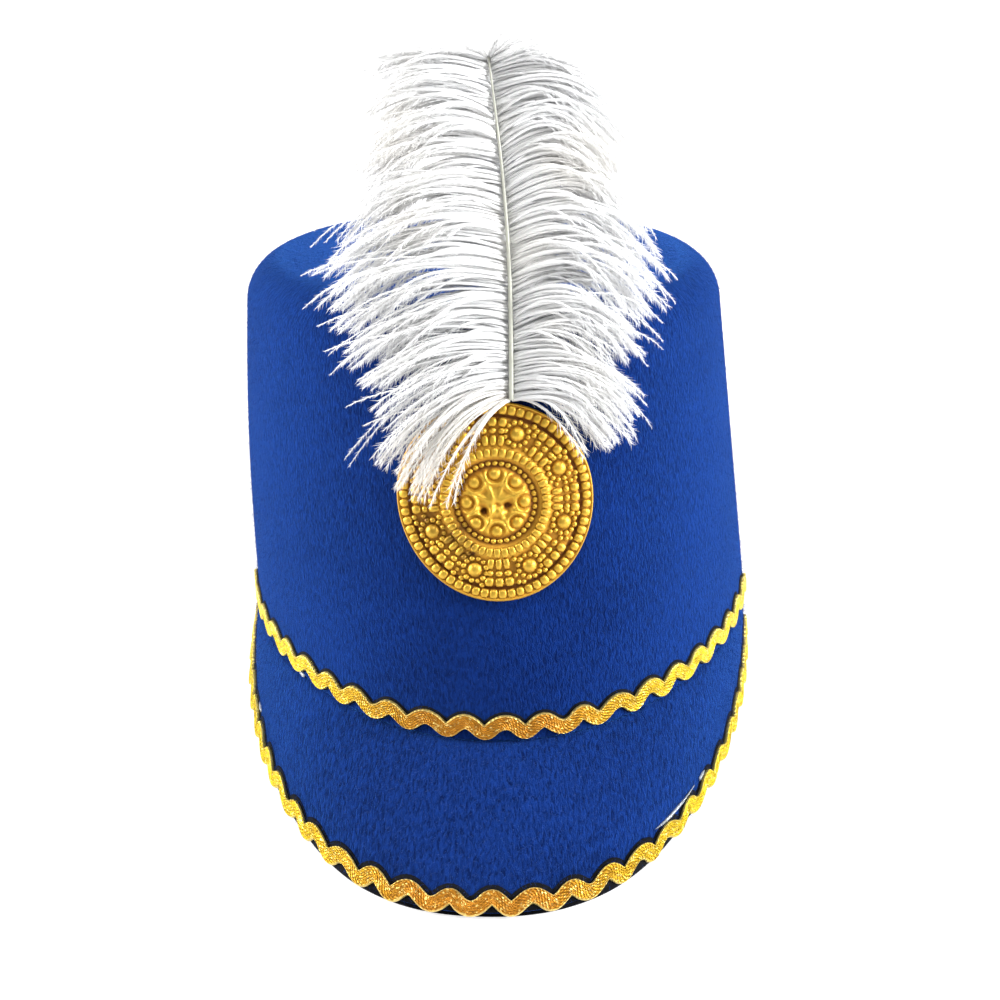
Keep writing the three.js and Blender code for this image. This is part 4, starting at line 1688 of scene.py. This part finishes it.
@dataclass
class Barbs:
    """The barbs of one layer on one side, each with the same number of points.

    Attributes:
        lines: The points of each barb in the upright frame.
        across: The unit vectors over the barb's web.
        normal: The unit vectors out of the barb's web.
        width: Half the web's width at each point.
        hair: The length of the hairs at each point.
        tone: How light the barb is, from 0 to 1.
        warm: How warm the barb is, from 0 to 1.
    """

    lines: Array
    across: Array
    normal: Array
    width: Array
    hair: Array
    tone: Array
    warm: Array


@dataclass
class Plume:
    """The white ostrich feather: a quill, and locks of barbs that droop to both sides.

    Attributes:
        quill_length: The quill's length up the wall.
        foot_height: The wall height of its foot, just above the badge.
        foot_radius: The shaft's radius at its foot.
        tip_radius: Its radius at the tip.
        foot_across: The way across the wall to its foot.
        tip_across: The way across to its tip.
        bow: How far it bows to one side.
        backing: The depth that the roots of the barbs take up behind the quill.
        layers: The layers of locks, from the wall outwards.
        steps: The points along each barb.
        web: Half the width of a barb's web where it is widest.
        web_thickness: Half its thickness.
        hair: The longest hairs on a barb.
        hair_spacing: The distance between hairs along a barb in metres.
        badge_clearance: How far off the wall the barbs pass over the badge.
    """

    quill_length: float = 93.5
    foot_height: float = 95.6
    foot_radius: float = 0.7
    tip_radius: float = 0.28
    foot_across: float = 11.5
    tip_across: float = 9.5
    bow: float = 2.0
    backing: float = 2.2
    layers: tuple[LockLayer, ...] = (
        LockLayer("under", 20, 9, 0.97, (3.0, 6.0), 1.9, 0, 11),
        LockLayer("over", 17, 10, 1.03, (5.0, 9.5), 1.5, 4, 12),
    )
    steps: int = 15
    web: float = 0.5
    web_thickness: float = 0.05
    hair: float = 3.9
    hair_spacing: float = 0.00026
    badge_clearance: float = 6.4

    def across(self, along: Array) -> Array:
        """Gives the quill's way across the wall at a share of its length."""
        bow = self.bow * np.sin(np.pi * np.clip(along, 0.0, 1.0))
        return blend(self.foot_across, self.tip_across, along) + bow

    def quill_shell(self) -> Shell:
        """Builds the tapered shaft."""
        sides = 14
        along = np.linspace(0.0, 1.0, 46)
        radius = blend(self.foot_radius, self.tip_radius, along)
        turn = np.linspace(0.0, 2 * np.pi, sides, endpoint=False)
        across = self.across(along)[:, None] + radius[:, None] * np.sin(turn)[None, :]
        height = np.broadcast_to((self.foot_height + self.quill_length * along)[:, None], across.shape)
        off = 2 * GAP + self.backing + radius[:, None] * (1.0 + np.cos(turn)[None, :])
        rings = CROWN.on_wall(across, height, off)
        uv = np.zeros((len(along), sides + 1, 2))
        uv[..., 0] = along[:, None] * self.quill_length * MM
        uv[..., 1] = np.linspace(0.0, 2 * np.pi, sides + 1)[None, :] * self.foot_radius * MM
        return Shell.of_rings(rings, uv, Ends.CAPS)

    def over_badge(self, across: Array, height: Array) -> Array:
        """Gives how far off the wall a barb must pass to clear the badge."""
        badge = Badge()
        reach = np.hypot(across - badge.across, height - badge.height)
        share = np.clip((badge.radius + 2.2 - reach) / 3.0, 0.0, 1.0)
        return 0.7 + (self.badge_clearance - 0.7) * share * share * (3.0 - 2.0 * share)

    def lay_barbs(self, side: Side, layer: LockLayer) -> Barbs:
        """Lays out the barbs of one layer on one side.

        Args:
            side: The side of the quill.
            layer: The layer of locks.

        Returns:
            The barbs with their webs and hairs.
        """
        rng = np.random.default_rng(layer.seed + side.value)
        table = np.array(PLUME_ROWS[side])
        share = np.linspace(0.0, 1.0, self.steps)
        eased = share * share * (3.0 - 2.0 * share)
        paths, widths, hairs, tones, warmths = [], [], [], [], []
        for lock in range(layer.locks):
            slot = (lock + 0.4 + rng.uniform(-0.25, 0.25)) / (layer.locks - 1)
            middle = min(slot, 1.0) ** 1.2
            fan = 0.04 if lock == layer.locks - 1 else 0.25 / layer.locks
            size = layer.reach * rng.uniform(0.88, 1.04)
            shift, rise = rng.normal(0.0, 1.7), rng.normal(0.0, 0.7)
            lift = rng.uniform(*layer.lift)
            bend = rng.uniform(1.5, 2.3)
            shade = rng.uniform(0.25, 0.75)
            strays = layer.strays if lock % 3 == 1 else 0
            for barb in range(layer.barbs + strays):
                loose = barb >= layer.barbs
                place = 2.0 * (barb + rng.uniform(0.1, 0.9)) / layer.barbs - 1.0
                if loose:
                    place = rng.uniform(-1.0, 1.0)
                root = float(np.clip(middle + 0.62 * place / layer.locks, 0.0, 1.0))
                look = middle + fan * place
                reach, drop, arch = (float(np.interp(look, table[:, 0], table[:, k])) for k in (1, 2, 3))
                reach, drop, arch = reach * size, drop + shift, arch + rise
                taper = 1.0 - 0.42 * abs(place) ** 1.3 * rng.uniform(0.4, 1.2)
                length = reach * taper * rng.uniform(0.86, 1.02)
                fall, tuft = drop, layer.tuft
                if loose:
                    length = reach * rng.uniform(0.98, 1.16)
                    fall, tuft = drop * rng.uniform(0.3, 1.5), 3.0 * layer.tuft
                height = self.foot_height + self.quill_length * (root + (middle - root) * eased)
                height = height + fall * share**bend + (arch + 0.8 * place) * np.sin(np.pi * share)
                height = height + place * tuft * share
                height = height + 0.3 * share * np.sin(share * rng.uniform(5.0, 9.0) + rng.uniform(0.0, 6.0))
                across = self.across(root) + side.value * (0.3 + length * share)
                off = 0.9 + self.backing * rng.uniform(0.1, 0.9) + lift * np.sin(np.pi * 0.84 * share)
                off = off + rng.normal(0.0, 0.7) * share + rng.uniform(-0.9, 0.9) * np.sin(np.pi * share)
                paths.append((across, height, np.maximum(off, self.over_badge(across, height))))
                spread = rng.uniform(0.75, 1.25) * (0.45 if loose else 1.0)
                widths.append(self.web * spread * np.interp(share, *WEB_TAPER))
                hair = self.hair * (0.5 if loose else rng.uniform(0.8, 1.15))
                hairs.append(hair * np.interp(share, *HAIR_TAPER))
                tones.append(np.full(self.steps, np.clip(shade + rng.normal(0.0, 0.22), 0.0, 1.0)))
                low = float(np.clip(1.0 - root / 0.07, 0.0, 1.0)) if side is Side.LEFT else 0.0
                warmths.append(np.full(self.steps, low))
        across, height, off = (np.array(part) for part in zip(*paths))
        lines = CROWN.on_wall(across, height, off)
        outward = CROWN.on_wall(across, height, off + 0.5) - lines
        tangent = unit(np.gradient(lines, axis=1))
        flat = unit(np.cross(tangent, outward))
        stand = np.cross(flat, tangent)
        roll, twist = rng.normal(0.0, 0.35, (2, len(lines), 1))
        roll = roll + twist * share[None, :]
        c, s = np.cos(roll)[..., None], np.sin(roll)[..., None]
        turned, normal = c * flat + s * stand, c * stand - s * flat
        values = (np.array(part) for part in (widths, hairs, tones, warmths))
        return Barbs(lines, turned, normal, *values)

    def web_object(self, name: str, barbs: Barbs, finish: bpy.types.Material) -> bpy.types.Object:
        """Makes the flat webs of the barbs, each a closed blade.

        Args:
            name: The object's name.
            barbs: The barbs.
            finish: Their material.

        Returns:
            The linked object.
        """
        wide = barbs.across * barbs.width[..., None]
        thick = barbs.normal * self.web_thickness
        lines = barbs.lines
        points = np.stack([lines + wide, lines + thick, lines - wide, lines - thick], axis=2)
        faces: list[tuple[int, ...]] = []
        for barb in range(len(lines)):
            base = barb * self.steps * 4
            faces.append((base, base + 1, base + 2, base + 3))
            for i in range(self.steps - 1):
                ring = base + 4 * i
                for j in range(4):
                    k = (j + 1) % 4
                    faces.append((ring + j, ring + 4 + j, ring + 4 + k, ring + k))
            last = base + 4 * (self.steps - 1)
            faces.append((last + 3, last + 2, last + 1, last))
        mesh = bpy.data.meshes.new(name)
        mesh.from_pydata(POSTURE.to_row(points.reshape(-1, 3)).tolist(), [], faces)
        for mark, value in (("tone", barbs.tone), ("warm", barbs.warm)):
            values = np.repeat(value.ravel(), 4).astype(np.float32)
            mesh.attributes.new(mark, "FLOAT", "POINT").data.foreach_set("value", values)
        mesh.materials.append(finish)
        mesh.shade_smooth()
        return linked(name, mesh)

    def line_object(self, name: str, barbs: Barbs) -> bpy.types.Object:
        """Makes the barbs' lines as edges that carry the values for their hairs."""
        count = barbs.lines.shape[0] * self.steps
        edges = [(i, i + 1) for i in range(count - 1) if (i + 1) % self.steps]
        mesh = bpy.data.meshes.new(name)
        mesh.from_pydata(POSTURE.to_row(barbs.lines.reshape(-1, 3)).tolist(), edges, [])
        share = np.linspace(0.0, 1.0, self.steps)
        sweep = np.tile(np.interp(share, (0, 0.3, 0.7, 1), (3.0, 1.6, 0.95, 1.2)), len(barbs.lines))
        marks = (
            ("hair", barbs.hair.ravel() * MM),
            ("sweep", sweep),
            ("tone", barbs.tone.ravel()),
            ("warm", barbs.warm.ravel()),
        )
        for mark, value in marks:
            mesh.attributes.new(mark, "FLOAT", "POINT").data.foreach_set("value", value.astype(np.float32))
        return linked(name, mesh)

    def build(
        self, feather: bpy.types.Material, shaft: bpy.types.Material, tree: GrowthTree
    ) -> list[bpy.types.Object]:
        """Makes the quill and the layers of barbs on both its sides."""
        quill = mesh_object("feather_quill", self.quill_shell(), shaft)
        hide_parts("quill")
        made = [quill]
        for layer in self.layers:
            for side in Side:
                name = f"feather_{side.name.lower()}_{layer.name}"
                barbs = self.lay_barbs(side, layer)
                hairs = tree.grow(
                    self.line_object(f"{name}_hairs", barbs),
                    {"Finish": feather, "Hair Spacing": self.hair_spacing, "Seed": layer.seed},
                )
                vane = joined(name, [self.web_object(name, barbs, feather), hairs])
                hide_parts("plume")
                made.append(vane)
        return made


@dataclass(frozen=True)
class GlueSpot:
    """A bit of set glue beside a trim.

    Attributes:
        place: The ground that it lies on.
        angle: Its angle from the front.
        across: Its way across that ground.
        length: Its length along the trim.
        width: Its width.
    """

    place: Place
    angle: float
    across: float
    length: float
    width: float

    def shell(self) -> Shell:
        """Builds the flat drop."""
        sides, usual_reach = 20, 100.0
        turn = np.linspace(0.0, 2 * np.pi, sides, endpoint=False)
        radius = 1.0 + 0.12 * np.sin(3 * turn + self.angle) + 0.08 * np.sin(5 * turn)
        rings = []
        for size, rise in ((1.0, 0.05), (0.97, 0.2), (0.8, 0.42), (0.5, 0.6), (0.1, 0.66)):
            angle = self.angle + np.cos(turn) * radius * size * self.length / 2 / usual_reach
            across = self.across + np.sin(turn) * radius * size * self.width / 2
            rings.append(self.place(angle, across, np.full_like(turn, rise * min(1.0, self.width))))
        uv = np.zeros((len(rings), sides + 1, 2))
        return Shell.of_rings(np.array(rings), uv, Ends.CAPS)


@dataclass
class Glue:
    """The bits of set glue that show beside the trims."""

    spots: tuple[GlueSpot, ...] = (
        GlueSpot(seam_place, math.radians(-84.5), 0.6, 2.2, 3.0),
        GlueSpot(peak_place, math.radians(39.0), 4.6, 19.0, 1.4),
        GlueSpot(peak_place, math.radians(47.5), 4.4, 3.5, 1.8),
        GlueSpot(peak_place, math.radians(-60.0), 4.5, 3.0, 1.6),
        GlueSpot(seam_place, math.radians(-44.0), -4.2, 3.4, 1.4),
        GlueSpot(seam_place, math.radians(61.0), -4.2, 2.6, 1.4),
        GlueSpot(seam_place, math.radians(-67.0), -4.2, 2.4, 1.4),
    )

    def build(self, finish: bpy.types.Material) -> bpy.types.Object:
        """Makes all bits of glue as one piece."""
        parts = [mesh_object("glue_bits", spot.shell(), finish) for spot in self.spots]
        piece = joined("glue_bits", parts)
        return piece


@dataclass(frozen=True)
class Lamp:
    """A large soft lamp that looks at the hat.

    Attributes:
        name: The lamp's name.
        place: Its place in metres.
        size: The diameter of its disk in metres.
        power: Its power in watts.
        colour: The colour of its light.
    """

    name: str
    place: tuple[float, float, float]
    size: float
    power: float
    colour: Colour

    def hang(self) -> None:
        """Adds the lamp to the scene."""
        data = bpy.data.lights.new(self.name, "AREA")
        data.shape = "DISK"
        data.size = self.size
        data.energy = self.power
        data.color = self.colour
        lamp = bpy.data.objects.new(self.name, data)
        lamp.location = self.place
        aim = Vector((0.0, 0.0, 0.08)) - Vector(self.place)
        lamp.rotation_euler = aim.to_track_quat("-Z", "Y").to_euler()
        bpy.context.scene.collection.objects.link(lamp)


@dataclass
class Studio:
    """The pale floor, the soft light and the camera.

    Attributes:
        lens: The focal length in millimetres on a sensor 36 wide.
        elevation: How far the camera looks down on the upright hat, in radians.
        yaw: How far the hat's front is turned from the camera, in radians.
        roll: The turn of the image, in radians.
        distance: The distance to the aim in millimetres.
        aim: The aim's place, across and up, in the upright frame.
        floor_glow: The light that the white floor gives by itself.
        world_glow: The light of the pale surroundings.
        lamps: The soft lamps.
    """

    lens: float = 48.85
    elevation: float = math.radians(24.0)
    yaw: float = math.radians(-2.8)
    roll: float = -0.0064
    distance: float = 505.0
    aim: tuple[float, float] = (-0.665, 25.7)
    floor_glow: float = 0.55
    world_glow: float = 0.3
    lamps: tuple[Lamp, ...] = (
        Lamp("lamp_left", (-1.45, 0.0, 0.55), 0.8, 48.0, (1.0, 0.99, 0.97)),
        Lamp("lamp_right", (1.45, -0.12, 0.55), 0.8, 50.0, (0.98, 0.99, 1.0)),
        Lamp("lamp_top", (0.1, -0.3, 1.5), 0.7, 9.0, (1.0, 1.0, 1.0)),
    )

    def camera_frame(self) -> tuple[Array, Array]:
        """Gives the camera's place in metres and its turn, in the row's frame."""
        c, s = math.cos(self.elevation), math.sin(self.elevation)
        place = np.array([self.aim[0], -self.distance * c, self.aim[1] + self.distance * s])
        forward, up, right = np.array([0.0, c, -s]), np.array([0.0, s, c]), np.array([1.0, 0.0, 0.0])
        rc, rs = math.cos(self.roll), math.sin(self.roll)
        right, up = rc * right + rs * up, rc * up - rs * right
        yc, ys = math.cos(self.yaw), math.sin(self.yaw)
        back_turn = np.array([[yc, ys, 0.0], [-ys, yc, 0.0], [0.0, 0.0, 1.0]])
        turned = POSTURE.turn() @ back_turn
        axes = np.stack([turned @ right, turned @ up, -(turned @ forward)], axis=1)
        return POSTURE.to_row((back_turn @ place)[None, :])[0], axes

    def set_camera(self) -> None:
        """Makes the camera at the photograph's angle to the hat."""
        data = bpy.data.cameras.new("camera")
        data.lens = self.lens
        data.sensor_width = 36.0
        data.clip_start, data.clip_end = 0.01, 20.0
        camera = bpy.data.objects.new("camera", data)
        place, axes = self.camera_frame()
        matrix = Matrix(axes.tolist()).to_4x4()
        matrix.translation = Vector(place)
        camera.matrix_world = matrix
        bpy.context.scene.collection.objects.link(camera)
        bpy.context.scene.camera = camera

    def set_floor(self) -> None:
        """Makes the plain pale floor."""
        mesh = bpy.data.meshes.new("floor")
        half = 6.0
        square = [(-half, -half, 0), (half, -half, 0), (half, half, 0), (-half, half, 0)]
        mesh.from_pydata(square, [], [(0, 1, 2, 3)])
        paint = Paint("floor")
        finish = paint.finished(
            base_color=(0.6, 0.6, 0.6, 1.0),
            roughness=0.9,
            specular=0.1,
            emission_color=(1.0, 1.0, 1.0, 1.0),
            emission_strength=self.floor_glow,
        )
        mesh.materials.append(finish)
        floor = linked("floor", mesh)

    def set_light(self) -> None:
        """Sets the soft lamps and the pale surroundings."""
        for lamp in self.lamps:
            lamp.hang()
        world = bpy.data.worlds.new("studio")
        world.use_nodes = True
        background = world.node_tree.nodes["Background"]
        background.inputs["Color"].default_value = (1.0, 1.0, 1.0, 1.0)
        background.inputs["Strength"].default_value = self.world_glow
        scene = bpy.context.scene
        scene.world = world
        scene.view_settings.view_transform = "Standard"


def corners(bounds: tuple[Vector, Vector]) -> list[list[float]]:
    """Gives a box's lowest and highest corner as plain lists."""
    return [[float(v) for v in corner] for corner in bounds]


def settle(piece: bpy.types.Object) -> None:
    """Lets a piece ride on the hat and logs its size."""
    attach(piece, "root")
    triangles = sum(len(polygon.vertices) - 2 for polygon in piece.data.polygons)
    log.info("%s: %d triangles", piece.name, triangles)


def main() -> None:
    """Builds the studio and every piece of the hat."""
    logging.basicConfig(level=logging.INFO, format="%(name)s: %(message)s")
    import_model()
    studio = Studio()
    studio.set_camera()
    studio.set_floor()
    studio.set_light()

    black = LiningFinish().material()
    braid = BraidFinish().material()
    nap = nap_tree()
    peak = Peak()
    pieces = [
        Crown().build(CROWN_FELT.material(), CROWN_FIBRES.material(), nap),
        peak.build(PEAK_FELT.material(), PEAK_FIBRES.material(), nap),
        peak.build_lining(black),
        *SEAM_BRAID.build(braid, black),
        *PEAK_BRAID.build(braid, black),
        Badge().build(BadgeFinish().material(), bead_tree()),
        *Plume().build(FeatherFinish().material(), QuillFinish().material(), hair_tree()),
        Glue().build(GlueFinish().material()),
    ]
    for piece in pieces:
        settle(piece)


if __name__ == "__main__":
    main()
